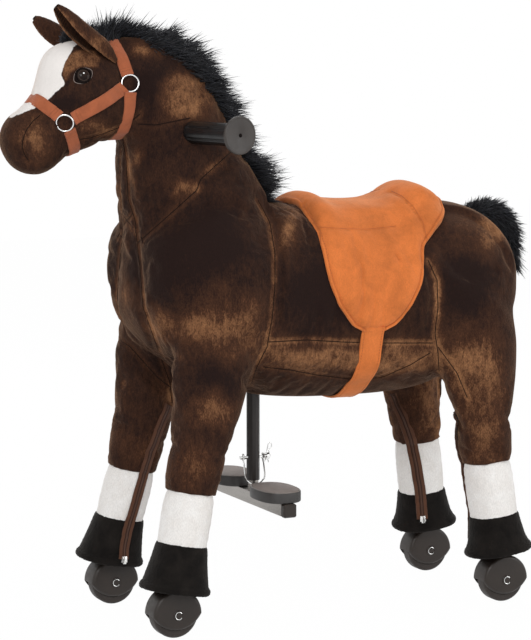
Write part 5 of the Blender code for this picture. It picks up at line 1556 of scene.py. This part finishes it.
def make_tail():
    sizes = bpy.context.scene.horse_sizes
    rng = random.Random(23)
    line = through([at(0, *place) for place in TAIL_LINE], 100)
    roots, directions, lengths, widths = [], [], [], []
    for _ in range(sizes.tail_locks):
        share = rng.random() ** 0.8
        i = min(98, int(share * 99))
        run = (line[i + 1] - line[i]).normalized()
        up = Vector((0, -run.z, run.y)).normalized()
        angle = rng.uniform(-math.pi, math.pi)
        outward = up * math.cos(angle) + X_AXIS * math.sin(angle)
        core = 0.011 * math.sin(math.pi * min(1, share + 0.15)) + 0.003
        direction = outward * 0.8 + run * 0.7 + Vector((rng.gauss(0, 0.15), rng.gauss(0, 0.15), rng.gauss(0, 0.15)))
        roots.append(line[i] + outward * core)
        directions.append(direction.normalized())
        lengths.append(smooth_table(TAIL_LENGTH, share)[0] * rng.uniform(0.7, 1.1))
        widths.append(rng.uniform(0.0008, 0.0020))
    locks = tufts("tail", roots, directions, lengths, widths, (0, 0.0, -0.12), 5)
    core = stuffed("tail core", tail_core_rings(line), 2)
    put_attribute(core.data, "along", np.zeros(len(core.data.vertices)))
    put_attribute(core.data, "strand", np.zeros(len(core.data.vertices)))
    tail = finish_piece(joined("tail", [locks, core]), "tail_locks", "black fur")
    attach(tail, "horse")
    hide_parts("tail")


def tail_core_rings(line):
    rings = []
    for i in range(0, 100, 11):
        run = (line[min(99, i + 1)] - line[max(0, i - 1)]).normalized()
        up = Vector((0, -run.z, run.y)).normalized()
        radius = 0.014 * math.sin(math.pi * min(1, i / 99 * 0.85 + 0.2)) + 0.003
        rings.append(oval(line[i], X_AXIS, up, radius, radius, radius, 8, 2))
    return rings


# Saddle. A station is: angle from the top, front edge and back edge.
SADDLE = (
    (0, -0.030, 0.192),
    (16, -0.031, 0.203),
    (27, -0.033, 0.201),
    (36, -0.034, 0.187),
    (44, -0.034, 0.166),
    (54, -0.035, 0.141),
    (66, -0.034, 0.131),
    (78, -0.027, 0.122),
    (90, -0.013, 0.106),
    (98, 0.001, 0.091),
    (103, 0.012, 0.080),
    (107, 0.029, 0.063),
)
SADDLE_AXIS_Z = 0.470
GIRTH_Y = 0.045


SADDLE_SEAMS = {
    "pommel": ((303, 205), (313, 220), (320, 231), (321, 244)),
    "cantle": ((391.5, 191), (402, 196), (413, 206), (423, 222), (428, 243)),
    "seat": ((320, 227), (343, 228.5), (368, 229), (396, 226)),
}
SADDLE_SEAM_STRENGTH = {"pommel": 1.0, "cantle": 0.9, "seat": 0.45}
SADDLE_HEM = 0.0052


def saddle_hit(tree, angle, y):
    outward = Vector((math.sin(angle), 0, math.cos(angle)))
    start = Vector((0, y + MIDDLE_Y, SADDLE_AXIS_Z)) + outward * 0.4
    hit, normal, _, _ = tree.ray_cast(start, -outward)
    if normal.dot(outward) < 0:
        normal = -normal
    return hit, normal


def saddle_grid(tree, lanes, steps):
    """Places, normals, angles and Y places of the pad's grid on the horse's back."""
    places, normals, angles, ys = [], [], [], []
    last = SADDLE[-1][0]
    for r in range(lanes + 1):
        angle = -last + 2 * last * r / lanes
        front, back = smooth_table(SADDLE, abs(angle))
        for s in range(steps + 1):
            y = front + (back - front) * s / steps
            hit, normal = saddle_hit(tree, math.radians(angle), y)
            places.append(hit)
            normals.append(normal)
            angles.append(angle)
            ys.append(y)
    return np.array(places), np.array(normals), np.radians(np.array(angles)), np.array(ys)


def make_saddle():
    """A felt pad with a pommel strip, a dipped seat, a raised cantle, round flaps and a stitched hem."""
    tree = need(MADE.get("skin tree"), "the skin is made first")
    lanes, steps = 190, 84
    places, normals, angles, ys = saddle_grid(tree, lanes, steps)
    rows = steps + 1
    grid = np.arange(len(places)).reshape(lanes + 1, rows)
    border = np.concatenate((grid[0], grid[1:, -1], grid[-1, ::-1][1:], grid[::-1, 0][1:-1]))
    rim, _ = nearest([tuple(p) for p in places[border]], places)
    smooth = places.copy()
    pairs = np.concatenate((
        np.column_stack((grid[:, :-1].ravel(), grid[:, 1:].ravel())),
        np.column_stack((grid[:-1].ravel(), grid[1:].ravel())),
    ))
    normals = evened(normals, pairs, np.full(len(normals), 0.7), 12)
    normals /= np.linalg.norm(normals, axis=1)[:, None]
    top = np.maximum(0.0, np.cos(angles * 1.5))
    shape = top * (0.010 * np.exp(-((ys + 0.010) / 0.022) ** 2) + 0.022 * np.exp(-((ys - 0.166) / 0.036) ** 2))
    full = 0.0075 * (1 - np.exp(-np.maximum(0, rim - SADDLE_HEM) / 0.008))
    base = 0.0026 + full + shape
    first = mesh_piece("saddle guide", smooth + normals * base[:, None], grid_faces(grid))
    guide = placed_tree([first])
    bpy.data.objects.remove(first, do_unlink=True)
    seams, strengths = [], []
    for name, track in SADDLE_SEAMS.items():
        for hit, _ in seen_on(guide, track):
            for side in (1, -1):
                seams.append((hit.x * side, hit.y, hit.z))
                strengths.append(SADDLE_SEAM_STRENGTH[name])
    surface = smooth + normals * base[:, None]
    far, which = nearest(seams, surface)
    strength = np.array(strengths)[which]
    hem_line = np.exp(-((rim - SADDLE_HEM) / 0.0011) ** 2)
    roll = 0.0016 * np.sqrt(np.clip(rim / 0.0025, 0, 1)) * (rim < SADDLE_HEM)
    dip = strength * (0.0022 * np.exp(-(far / 0.0016) ** 2) + 0.0030 * np.exp(-(far / 0.008) ** 2))
    pucker = np.array([noise.noise(Vector(place) * 120) for place in surface])
    wave = np.array([noise.noise(Vector(place) * 26) for place in surface])
    lift = base + roll - dip - 0.0012 * hem_line
    lift += 0.0008 * pucker * np.exp(-((rim - 0.009) / 0.007) ** 2) + 0.0018 * wave * np.clip(rim / 0.02, 0, 1)
    over = smooth + normals * np.maximum(lift, 0.0012)[:, None]
    under = smooth - normals * 0.0015
    size = len(over)
    faces = grid_faces(grid) + [tuple(size + i for i in reversed(face)) for face in grid_faces(grid)]
    for a, b in zip(border, np.roll(border, -1)):
        faces.append((int(b), int(a), size + int(a), size + int(b)))
    obj = fix_faces(mesh_piece("saddle", np.concatenate((over, under)), faces))
    # Painted shade in the seams and along the groove inside the hem.
    shade = 0.55 * strength * np.exp(-(far / 0.0014) ** 2) + 0.35 * hem_line
    put_attribute(obj.data, "shade", np.concatenate((np.clip(shade, 0, 1), np.zeros(size))))
    subdivided(obj, 1)
    saddle = finish_piece(obj, "saddle_pad", "felt")
    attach(saddle, "horse")
    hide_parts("saddle")
    MADE["saddle tree"] = placed_tree([saddle])
    sew_saddle(places, normals, border)


def grid_faces(grid):
    a, b, c, d = grid[:-1, :-1], grid[:-1, 1:], grid[1:, 1:], grid[1:, :-1]
    return [tuple(int(v) for v in face) for face in np.stack((a, b, c, d), axis=-1).reshape(-1, 4)]


def fix_faces(obj):
    choose(obj)
    bpy.ops.object.mode_set(mode="EDIT")
    bpy.ops.mesh.select_all(action="SELECT")
    bpy.ops.mesh.normals_make_consistent(inside=False)
    bpy.ops.object.mode_set(mode="OBJECT")
    return obj


def sew_saddle(places, normals, border):
    """Rows of stitches inside the hem and a line of thread in each seam."""
    tree = MADE["saddle tree"]
    ring = [Vector(places[i]) for i in border]
    middle = Vector(places.mean(axis=0))
    points, ups = [], []
    count = len(ring)
    for i, place in enumerate(ring):
        along = (ring[(i + 1) % count] - ring[i - 1]).normalized()
        up = Vector(normals[border[i]])
        inward = up.cross(along).normalized()
        if inward.dot(middle - place) < 0:
            inward = -inward
        hit, normal, _, _ = tree.ray_cast(place + inward * SADDLE_HEM + up * 0.03, -up)
        if hit is None:
            continue
        points.append(hit)
        ups.append(normal)
    marks = marks_along(points + points[:1], ups + ups[:1], 0.0046, 0.0001)
    parts = [stitches("hem stitches", marks, 0.0030, 0.0005)]
    for track in SADDLE_SEAMS.values():
        hits = [hit for hit, _ in seen_on(tree, track, 2.0)]
        for side in (1, -1):
            parts.append(tube("seam", [Vector((hit.x * side, hit.y, hit.z)) for hit in hits], 0.0005, resolution=1))
    sewn = finish_piece(joined("sewing", parts), "saddle_stitches", "felt thread")
    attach(sewn, "horse")


def make_girth():
    tree = need(MADE.get("skin tree"), "the skin is made first")
    path, normals = [], []
    count = 160
    start = math.radians(100)
    for i in range(count + 1):
        angle = start + (2 * math.pi - 2 * start) * i / count
        hit, normal = saddle_hit(tree, angle, GIRTH_Y)
        path.append(hit)
        normals.append(normal)
    lines = []
    for values in (path, normals):
        lines.append([sum(values[max(0, i - 7):i + 8], Vector()) / len(values[max(0, i - 7):i + 8]) for i in range(count + 1)])
    normals = [normal.normalized() for normal in lines[1]]
    path = [place + normal * 0.0012 for place, normal in zip(lines[0], normals)]
    obj = strap("girth", path, normals, 0.036, 0.0030)
    girth = finish_piece(obj, "girth_strap", "felt", 50)
    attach(girth, "horse")
    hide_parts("girth")
    marks = []
    for shift in (-0.0140, 0.0140):
        edge = []
        for i, (place, normal) in enumerate(zip(path, normals)):
            along = path[min(i + 1, count)] - path[max(i - 1, 0)]
            edge.append(place + along.cross(normal).normalized() * shift)
        marks += marks_along(edge, normals, 0.0044, 0.0031)
    sewn = finish_piece(stitches("girth stitches", marks, 0.0030, 0.0005), "girth_stitches", "felt thread")
    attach(sewn, "horse")


# Halter
STRAP_WIDTH = 0.0185
RING_SPOTS = {"nose": (65, 122.5), "cheek": (130, 83.5)}
RING_RADIUS = 0.0122
RING_WIRE = 0.0012
# Where each band that crosses the head lies at its middle.
BANDS = {
    "noseband": ("nose", (-0.437, 0.774)),
    "chin_band": ("nose", (-0.384, 0.705)),
    "crown_band": ("cheek", (-0.318, 0.853)),
    "throat_band": ("cheek", (-0.311, 0.750)),
}


def band_path(tree, ring, aim):
    """The half loop over or under the head, from a ring to its mirror image."""
    middle = Vector((0, ring.y, ring.z))
    upward = (at(0, *aim) - middle).normalized()
    path, normals = [], []
    for i in range(121):
        angle = math.pi * i / 120
        outward = X_AXIS * math.cos(angle) + upward * math.sin(angle)
        hit, normal, _, _ = tree.ray_cast(middle + outward * 0.12, -outward)
        path.append(need(hit, "a strap misses the head"))
        normals.append((outward + normal * (1 if normal.dot(outward) > 0 else -1)).normalized())
    return path, normals


def settled_strap(name, path, normals, rings, width):
    """Webbing that ends on its rings, folded over their wire, with a row of stitches across each fold."""
    even = [sum(path[max(0, i - 3):i + 4], Vector()) / len(path[max(0, i - 3):i + 4]) for i in range(len(path))]
    kept, ups, marks = [], [], []
    for place, up in zip(even, normals):
        far = min((place - ring).length for ring in rings)
        if far < RING_RADIUS - 0.0008:
            continue
        lift = 0.0022 * max(0.0, 1 - (far - RING_RADIUS) / 0.006) + 0.0004
        kept.append(place + up * lift)
        ups.append(up)
    for i in (0, -1):
        step = 1 if i == 0 else -1
        along = (kept[i + step * 3] - kept[i]).normalized()
        for gap in (0.0075, 0.0105):
            k = next(n for n in range(len(kept)) if (kept[i + step * n] - kept[i]).length > gap)
            place, up = kept[i + step * k], ups[i + step * k]
            across = along.cross(up).normalized()
            marks += [(place + across * width * 0.13 * n + up * 0.0022, across, up) for n in range(-3, 4)]
    return strap(name, kept, ups, width, 0.0022), marks


def make_halter():
    tree = need(MADE.get("skin tree"), "the skin is made first")
    spots, facing = {}, {}
    for name, spot in RING_SPOTS.items():
        spots[name], facing[name] = seen_on(tree, (spot, (spot[0] + 0.1, spot[1])))[0]
    ends = [Vector((spot.x * side, spot.y, spot.z)) for spot in spots.values() for side in (1, -1)]
    parts, marks = [], []
    for name, (ring, aim) in BANDS.items():
        path, normals = band_path(tree, spots[ring], aim)
        piece, sewn = settled_strap(name, path, normals, ends, STRAP_WIDTH)
        parts.append(piece)
        marks += sewn
    for side in (LEFT, RIGHT):
        path, normals = [], []
        for i in range(60):
            place = spots["nose"].lerp(spots["cheek"], i / 59)
            hit, normal, _, _ = tree.ray_cast((side * 0.2, place.y, place.z), -X_AXIS * side)
            path.append(hit)
            normals.append(normal)
        piece, sewn = settled_strap("cheek", path, normals, ends, STRAP_WIDTH * 1.06)
        parts.append(piece)
        marks += sewn
    rings = []
    for name, spot in spots.items():
        for side in (LEFT, RIGHT):
            out = Vector((facing[name].x * side, facing[name].y, facing[name].z))
            place = Vector((spot.x * side, spot.y, spot.z)) + out * 0.0026
            rings.append(ring_at("ring", place, out, RING_RADIUS, RING_WIRE))
    halter = finish_piece(joined("halter", parts), "halter_straps", "webbing", 50)
    rings = finish_piece(joined("rings", rings), "halter_rings", "silver")
    sewn = finish_piece(stitches("stitches", marks, 0.0021, 0.0004), "halter_stitches", "thread")
    for piece, slot in ((halter, "webbing"), (rings, "bright_steel"), (sewn, "webbing")):
        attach(piece, "horse")
    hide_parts("halter")


# Zips, as tracks of image places on the inner sides of the far legs
ZIP_TRACKS = {
    FRONT: ((168, 405), (166, 412), (162, 421), (156, 437), (150, 453), (143, 476), (134, 508), (127.5, 530), (124, 548), (123.4, 559)),
    HIND: ((393, 394), (398, 406), (404, 419), (411, 440), (416, 465), (420, 490), (421.8, 512), (422.3, 519)),
}
ZIP_WIDTH = {FRONT: 0.0160, HIND: 0.0185}


def make_zips():
    """Zip tape with its coil and slider, down the inner side of each leg."""
    for end, track in ZIP_TRACKS.items():
        seen = None
        for side in (RIGHT, LEFT):
            tree = placed_tree([MADE[f"skin {end}"], *need(MADE.get((end, side)), "the socks are made first")])
            if side == RIGHT:
                found = seen = seen_on(tree, track, 3.0)
            else:
                found = [tree.find_nearest(Vector((-hit.x, hit.y, hit.z)))[:2] for hit, _ in seen]
            line = through([hit for hit, _ in found[::3] + found[-1:]], 60)
            inward = Vector((-side, 0, 0))
            path, normals = [], []
            for place in line:
                hit, normal, _, _ = tree.find_nearest(place)
                normal = normal if normal.dot(inward) > 0 else -normal
                path.append(hit.lerp(place, 0.5) + normal * 0.0006)
                normals.append((normal + inward * 0.6).normalized())
            word = f"{LIMB_WORDS[end]}_zip_{SIDE_WORDS[side]}"
            zip_tape = finish_piece(strap("zip", path, normals, ZIP_WIDTH[end], 0.0016), word, "zip tape", 50)
            coil = tube("coil", [place + up * 0.0018 for place, up in zip(path, normals)], 0.0011, resolution=2)
            coil = finish_piece(coil, word + "_coil", "zip coil")
            foot, up = path[-1], normals[-1]
            along = (path[-1] - path[-4]).normalized()
            across = along.cross(up).normalized()
            slider = [rounded(prism("slider", ZIP_SLIDER, foot + up * 0.0030, across, along, 0.0016), 0.0006, 2)]
            slider.append(rounded(prism("tab", ZIP_TAB, foot + up * 0.0052, across, along, 0.0005), 0.0003, 2))
            slider = finish_piece(joined("slider", slider), word + "_slider", "zip metal", 40)
            for piece, slot in ((zip_tape, "webbing"), (coil, "webbing"), (slider, "bright_steel")):
                bend(piece)


ZIP_SLIDER = ((-0.0040, -0.0050), (0.0040, -0.0050), (0.0048, 0.0042), (-0.0048, 0.0042))
ZIP_TAB = ((-0.0022, -0.0044), (0.0022, -0.0044), (0.0028, 0.0062), (-0.0028, 0.0062))


# Running gear
HOOD_RADIUS = 0.0379
HOOD_HALF = 0.0201
WELL_RADIUS = 0.0358
WELL_HALF = 0.0145
CHEEK_DROP = 0.0225
SOCKET_RADIUS = 0.0148
SOCKET_TOP = 0.074
STIRRUP_Y = -0.090


def dress(piece, body, slot, *nodes):
    """Declares a rigid piece: its body, its material slot and the nodes that it stands for."""
    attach(piece, body)
    if nodes:
        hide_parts(*nodes)
    return piece


def make_wheels():
    for end, side in CORNERS:
        middle = hub(end, side)
        half, tread = 0.0138, 0.0065
        face = [(half - 0.001, 0.0005), (half - 0.001, 0.0105), (half - 0.0018, 0.0112), (half - 0.005, 0.0125)]
        face += [(half - 0.005, 0.0212), (half - 0.001, 0.0225), (half, 0.0235)]
        outside = face + [(half - tread + tread * math.sin(a), 0.0285 + tread * math.cos(a)) for a in np.linspace(math.pi / 2, 0, 9)]
        profile = [(-a, r) for a, r in outside] + outside[::-1]
        name = f"{END_WORDS[end]}_wheel_{SIDE_WORDS[side]}"
        wheel = finish_piece(turned("wheel", profile, middle, X_AXIS), name + "_round", "tread", 40)
        dress(wheel, f"{END_WORDS[end]}_{SIDE_WORDS[side]}_wheel", "tread", name)


def make_hoods():
    """A domed hood over each wheel, with a socket for the leg, a boss on each cheek and the axle with its clips."""
    bow = (HOOD_RADIUS ** 2 + CHEEK_DROP ** 2) / (2 * CHEEK_DROP)
    reach = math.asin(HOOD_RADIUS / bow)
    low = arc(bow, -math.pi / 2 - reach, -math.pi / 2 + reach, 24, (0, bow - CHEEK_DROP))
    outline = arc(HOOD_RADIUS, 0, math.pi, 60) + low[1:-1]
    for end, side in CORNERS:
        middle, along = hub(end, side), leg_line(end, side)
        hood = rounded(prism("hood", outline, middle, Y_AXIS, Z_AXIS, HOOD_HALF), 0.0055, 5, 60)
        cut(hood, cylinder(middle + along * (WELL_RADIUS + 0.001), middle + along * SOCKET_TOP, SOCKET_RADIUS), "UNION")
        cut(hood, cylinder(middle - X_AXIS * WELL_HALF, middle + X_AXIS * WELL_HALF, WELL_RADIUS, 96))
        cut(hood, box(middle - Vector((WELL_HALF, 0.048, 0.045)), middle + Vector((WELL_HALF, 0.048, 0))))
        parts, clips = [hood], [cylinder(middle - X_AXIS * 0.0195, middle + X_AXIS * 0.0195, 0.0030)]
        for out in (X_AXIS, -X_AXIS):
            face = middle + out * HOOD_HALF
            boss = ((-0.002, 0.0080), (0.0004, 0.0080), (0.0010, 0.0074), (0.0010, 0.0062), (0.0004, 0.0057), (0.0004, 0.0004))
            parts.append(turned("boss", boss, face, out, 48))
            clip = arc(0.0054, math.radians(38), math.radians(322), 28)
            clips.append(tube("clip", [face + out * 0.0014 + Y_AXIS * y + Z_AXIS * z for y, z in clip], 0.0005, resolution=2))
        word, hand = END_WORDS[end], SIDE_WORDS[side]
        hood = finish_piece(joined("hood", parts), f"{word}_hood_{hand}", "black plastic", 40)
        dress(hood, f"{word}_legs", "black_plastic", f"{word}_fork_{hand}")
        axle = finish_piece(joined("axle", clips), f"{word}_axle_{hand}_clip", "silver", 40)
        dress(axle, f"{word}_legs", "bright_steel", f"{word}_axle_{hand}")


def make_springs():
    """Return springs that stretch from their hook on the spine to the one on the leg frame."""
    for end in (FRONT, HIND):
        name = f"{END_WORDS[end]}_return_spring"
        solid = bpy.data.objects[name].data
        co = points_of(solid)
        spring = mesh_piece("spring", co, [tuple(face.vertices) for face in solid.polygons])
        spring = finish_piece(spring, name + "_coil", "zinc")
        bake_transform(spring)
        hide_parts(name)


HANDLE_SWEEP = math.radians(13.8)
GRIP_ROOT = (0.035, -0.235, 0.728)
GRIP_START = 0.046


def make_grips():
    """Rubber grips with six grooves along them, each with a guard disc that has a rim and a dimple."""
    for side in (LEFT, RIGHT):
        sweep = Vector((side * math.cos(HANDLE_SWEEP), math.sin(HANDLE_SWEEP), 0))
        root = at(GRIP_ROOT[0] * side, *GRIP_ROOT[1:]) + sweep * GRIP_START
        profile = [(0, 0.009), (0, 0.0150), (0.0012, 0.0165)] + [(0.004 + 0.0034 * k, 0.0165) for k in range(31)]
        grip = turned("grip", profile + [(0.1085, 0.0165), (0.1085, 0.002)], root, sweep, 120)
        co = points_of(grip.data)
        away = co - np.array(root)
        along = away @ np.array(sweep)
        flat = away - along[:, None] * np.array(sweep)
        angle = np.arctan2(flat[:, 2], flat @ np.array(sweep.cross(Z_AXIS)))
        groove = (angle / (math.pi / 3) - 0.5 + 100) % 1.0
        groove = np.exp(-((np.minimum(groove, 1 - groove) * 0.0173) / 0.0013) ** 2)
        groove *= np.clip((along - 0.006) / 0.004, 0, 1) * np.clip((0.102 - along) / 0.004, 0, 1)
        put_points(grip.data, co - flat * (groove * 0.11)[:, None])
        hand = SIDE_WORDS[side]
        dress(finish_piece(grip, f"grip_{hand}_ribbed", "grip", 60), "horse", "black_plastic", f"grip_{hand}")
        disc = [(0.1072, 0.0180), (0.1072, 0.0262), (0.1080, 0.0272), (0.1095, 0.0275), (0.1115, 0.0275), (0.1126, 0.0270)]
        disc += [(0.1130, 0.0262), (0.1129, 0.0250), (0.1123, 0.0244), (0.1122, 0.0236), (0.1124, 0.0034), (0.1118, 0.0024), (0.1106, 0.0014), (0.1104, 0.0002)]
        disc = finish_piece(turned("disc", disc, root, sweep, 96), f"grip_{hand}_disc", "grip disc", 40)
        dress(disc, "horse", "black_plastic")
        # A dark disc in the dimple of the guard disc, as painted shade.
        end = finish_piece(cylinder(root + sweep * 0.1110, root + sweep * 0.1125, 0.0026, 32), f"grip_{hand}_dimple_shade", "eye lid")
        dress(end, "horse", "black_plastic")


def pedal_outline(inset, count=96):
    points = []
    for i in range(count):
        c, s = math.cos(2 * math.pi * i / count), math.sin(2 * math.pi * i / count)
        points.append((math.copysign(abs(c) ** 0.75, c) * (0.048 - inset), math.copysign(abs(s) ** 0.85, s) * (0.032 - inset)))
    return points


def make_pedals():
    """Oval pedals with a pale rim and a gritty tread."""
    for side in (LEFT, RIGHT):
        hand = SIDE_WORDS[side]
        middle = at(side * 0.078, STIRRUP_Y, 0.1893)
        body = rounded(prism("pedal", pedal_outline(0), middle, X_AXIS, Y_AXIS, 0.0080), 0.0018, 3)
        dress(finish_piece(body, f"pedal_{hand}_body", "pedal", 40), "horse", "black_plastic", f"pedal_{hand}")
        tread = rounded(prism("tread", pedal_outline(0.0034), middle + Z_AXIS * 0.0079, X_AXIS, Y_AXIS, 0.0009), 0.0005, 2)
        dress(finish_piece(tread, f"pedal_{hand}_tread", "pedal tread", 40), "horse", "black_plastic")
        # A pale ring round the tread's edge: a painted highlight.
        rim = [middle + Z_AXIS * 0.0079 + X_AXIS * x + Y_AXIS * y for x, y in pedal_outline(0.0019)]
        dress(finish_piece(tube("rim", rim, 0.0009, closed=True), f"pedal_{hand}_rim", "pedal rim"), "horse", "black_plastic")


def make_pin_clip():
    """A wire clip through the end of the lock pin, with one straight and one wavy leg."""
    foot = at(0, STIRRUP_Y + 0.0215, 0.232)
    lean = Vector((0, 0.22, 1)).normalized()
    aside = Vector((0, 1, -0.22)).normalized()
    shape = [(0.0, -0.009), (0.0, 0.016)] + [(0.003 - 0.003 * math.cos(a), 0.017 + 0.0034 * math.sin(a)) for a in np.linspace(0.3, 2.8, 7)]
    shape += [(0.0058, 0.014), (0.0026, 0.009), (0.0052, 0.004), (0.0022, -0.001), (0.0050, -0.006), (0.0068, -0.009)]
    line = through([foot + aside * y + lean * z for y, z in shape], 60)
    clip = finish_piece(tube("clip", line, 0.0007, resolution=2), "lock_pin_clip", "silver")
    dress(clip, "horse", "bright_steel")


# Stage
def make_stage():
    scene = bpy.context.scene
    clear_selection()
    bpy.ops.mesh.primitive_plane_add(size=12, location=(0, 0, -0.0005))
    floor = finish_piece(bpy.context.object, "studio_floor_plane", "floor")
    world = bpy.data.worlds.new("studio")
    scene.world = world
    world.use_nodes = True
    tree = world.node_tree
    tree.nodes.clear()
    path = add(tree, "ShaderNodeLightPath").outputs
    seen = math_node(tree, "ADD", path["Is Camera Ray"], path["Is Glossy Ray"], clamp=True)
    seen = math_node(tree, "ADD", seen, path["Is Transmission Ray"], clamp=True)
    level = spread(tree, seen, 0.0, 1.0, 0.55, 1.0)
    sky = add(tree, "ShaderNodeBackground", {"Color": (1, 1, 1, 1), "Strength": level})
    out = add(tree, "ShaderNodeOutputWorld")
    tree.links.new(sky.outputs[0], out.inputs[0])
    for name, place, size, power in (
        ("key_light", (2.6, -2.2, 2.6), 1.6, 62),
        ("fill_light", (2.2, 2.4, 1.4), 1.8, 26),
        ("back_light", (-2.4, 0.6, 2.2), 1.6, 30),
    ):
        data = bpy.data.lights.new(name, "AREA")
        data.size = size
        data.energy = power
        lamp = bpy.data.objects.new(name, data)
        scene.collection.objects.link(lamp)
        lamp.location = place
        lamp.rotation_euler = (Vector((0, 0, 0.45)) - Vector(place)).to_track_quat("-Z", "Y").to_euler()
    data = bpy.data.cameras.new("photo_camera")
    data.sensor_width = 36
    data.lens = FOCAL * 36 / IMAGE[1]
    camera = bpy.data.objects.new("photo_camera", data)
    scene.collection.objects.link(camera)
    right, up, back = camera_axes()
    camera.matrix_world = Matrix.Translation(CAMERA) @ Matrix((right, up, back)).transposed().to_4x4()
    scene.camera = camera
    scene.view_settings.view_transform = "Standard"


NODE_FINISHES = {
    "black steel": ("spine_frame", "front_leg_frame", "hind_leg_frame", "handlebar"),
    "plywood": ("seat_board",),
    "black plastic": ("front_hip_bush", "hind_hip_bush", "bar_cap_left", "bar_cap_right"),
    "zinc": ("front_hip_shaft", "hind_hip_shaft", "front_hip_nut", "hind_hip_nut", "stirrup_bar"),
    "silver": ("lock_pin", "pin_bail"),
}


def finish_frame():
    for finish, names in NODE_FINISHES.items():
        for name in names:
            obj = frame["nodes"][name]
            obj.data.materials.clear()
            obj.data.materials.append(material(finish))


# Add-on
class HorseSizes(bpy.types.PropertyGroup):
    plush_voxel: bpy.props.FloatProperty(
        name="Plush mesh", description="Size of the mesh of the plush skin", default=0.0045, min=0.003, max=0.01, unit="LENGTH")
    seam_depth: bpy.props.FloatProperty(
        name="Seam depth", description="How far a seam draws the plush in", default=0.0035, min=0, max=0.01, unit="LENGTH")
    mane_locks: bpy.props.IntProperty(name="Mane locks", description="Number of locks in the mane", default=8400, min=100)
    tail_locks: bpy.props.IntProperty(name="Tail locks", description="Number of locks in the tail", default=3600, min=100)


class HorseColours(bpy.types.PropertyGroup):
    plush_dark: bpy.props.FloatVectorProperty(
        name="Dark plush", description="Plush in the shade of its nap", default=(0.0125, 0.0047, 0.0034), subtype="COLOR")
    plush_mid: bpy.props.FloatVectorProperty(
        name="Middle plush", description="Plush between dark and golden", default=(0.066, 0.026, 0.012), subtype="COLOR")
    plush_gold: bpy.props.FloatVectorProperty(
        name="Golden plush", description="Plush where the nap catches the light", default=(0.27, 0.125, 0.056), subtype="COLOR")
    blaze: bpy.props.FloatVectorProperty(
        name="Blaze", description="White plush of the face", default=(0.84, 0.80, 0.77), subtype="COLOR")
    fur: bpy.props.FloatVectorProperty(
        name="Fur", description="Roots of mane and tail", default=(0.0045, 0.0042, 0.0046), subtype="COLOR")
    fur_tips: bpy.props.FloatVectorProperty(
        name="Fur tips", description="Tips of mane and tail", default=(0.024, 0.022, 0.024), subtype="COLOR")
    felt: bpy.props.FloatVectorProperty(
        name="Saddle", description="Velour of the saddle and girth", default=(0.62, 0.170, 0.042), subtype="COLOR")
    webbing: bpy.props.FloatVectorProperty(
        name="Halter", description="Webbing of the halter", default=(0.42, 0.115, 0.045), subtype="COLOR")


def operator(idname, label, words, steps):
    """An operator that runs some steps in order."""

    def execute(self, context):
        for step in steps:
            step()
        return {"FINISHED"}

    name = "HORSE_OT_" + idname.split(".")[1]
    return type(name, (bpy.types.Operator,), {
        "bl_idname": idname, "bl_label": label, "bl_options": {"REGISTER", "UNDO"}, "__doc__": words, "execute": execute,
    })


OPERATORS = [
    operator("horse.stage", "Stage", "Floor, lights and camera", [make_stage]),
    operator("horse.skin", "Plush skin", "The plush body with its seams", [make_skin]),
    operator("horse.face", "Face", "Ears and eyes", [make_ears, make_eyes]),
    operator("horse.fur", "Mane and tail", "Locks of long fur", [make_mane, make_tail]),
    operator("horse.saddle", "Saddle", "Saddle pad and girth", [make_saddle, make_girth]),
    operator("horse.halter", "Halter", "Halter straps and rings", [make_halter]),
    operator("horse.bend", "Bending skin", "Cuts the skin in two halves that bend with the legs", [split_skin]),
    operator("horse.socks", "Socks and cuffs", "White socks and black cuffs", [make_socks]),
    operator("horse.zips", "Zips", "Zips on the inner sides of the legs", [make_zips]),
    operator("horse.wheels", "Wheels", "Wheels, hoods, axles and return springs", [make_wheels, make_hoods, make_springs]),
    operator("horse.grips", "Grips", "Handle grips with their discs", [make_grips]),
    operator("horse.stirrup", "Stirrup", "Pedals and the clip of the lock pin", [make_pedals, make_pin_clip]),
    operator("horse.frame", "Frame finishes", "Finishes of the frame's own pieces", [finish_frame]),
]


class HORSE_PT_panel(bpy.types.Panel):
    """Lists the steps that dress the horse"""

    bl_label = "Plush Horse"
    bl_idname = "HORSE_PT_panel"
    bl_space_type = "VIEW_3D"
    bl_region_type = "UI"
    bl_category = "Plush Horse"

    def draw(self, context):
        for one in OPERATORS:
            self.layout.operator(one.bl_idname)


CLASSES = [HorseSizes, HorseColours, *OPERATORS, HORSE_PT_panel]


def register():
    for one in CLASSES:
        bpy.utils.register_class(one)
    bpy.types.Scene.horse_sizes = bpy.props.PointerProperty(type=HorseSizes)
    bpy.types.Scene.horse_colours = bpy.props.PointerProperty(type=HorseColours)


def unregister():
    del bpy.types.Scene.horse_colours
    del bpy.types.Scene.horse_sizes
    for one in reversed(CLASSES):
        bpy.utils.unregister_class(one)


def main():
    register()
    bpy.ops.horse.stage()
    bpy.ops.horse.skin()
    bpy.ops.horse.face()
    bpy.ops.horse.fur()
    bpy.ops.horse.saddle()
    bpy.ops.horse.halter()
    bpy.ops.horse.bend()
    bpy.ops.horse.socks()
    bpy.ops.horse.zips()
    bpy.ops.horse.wheels()
    bpy.ops.horse.grips()
    bpy.ops.horse.stirrup()
    bpy.ops.horse.frame()


if __name__ == "__main__":
    main()
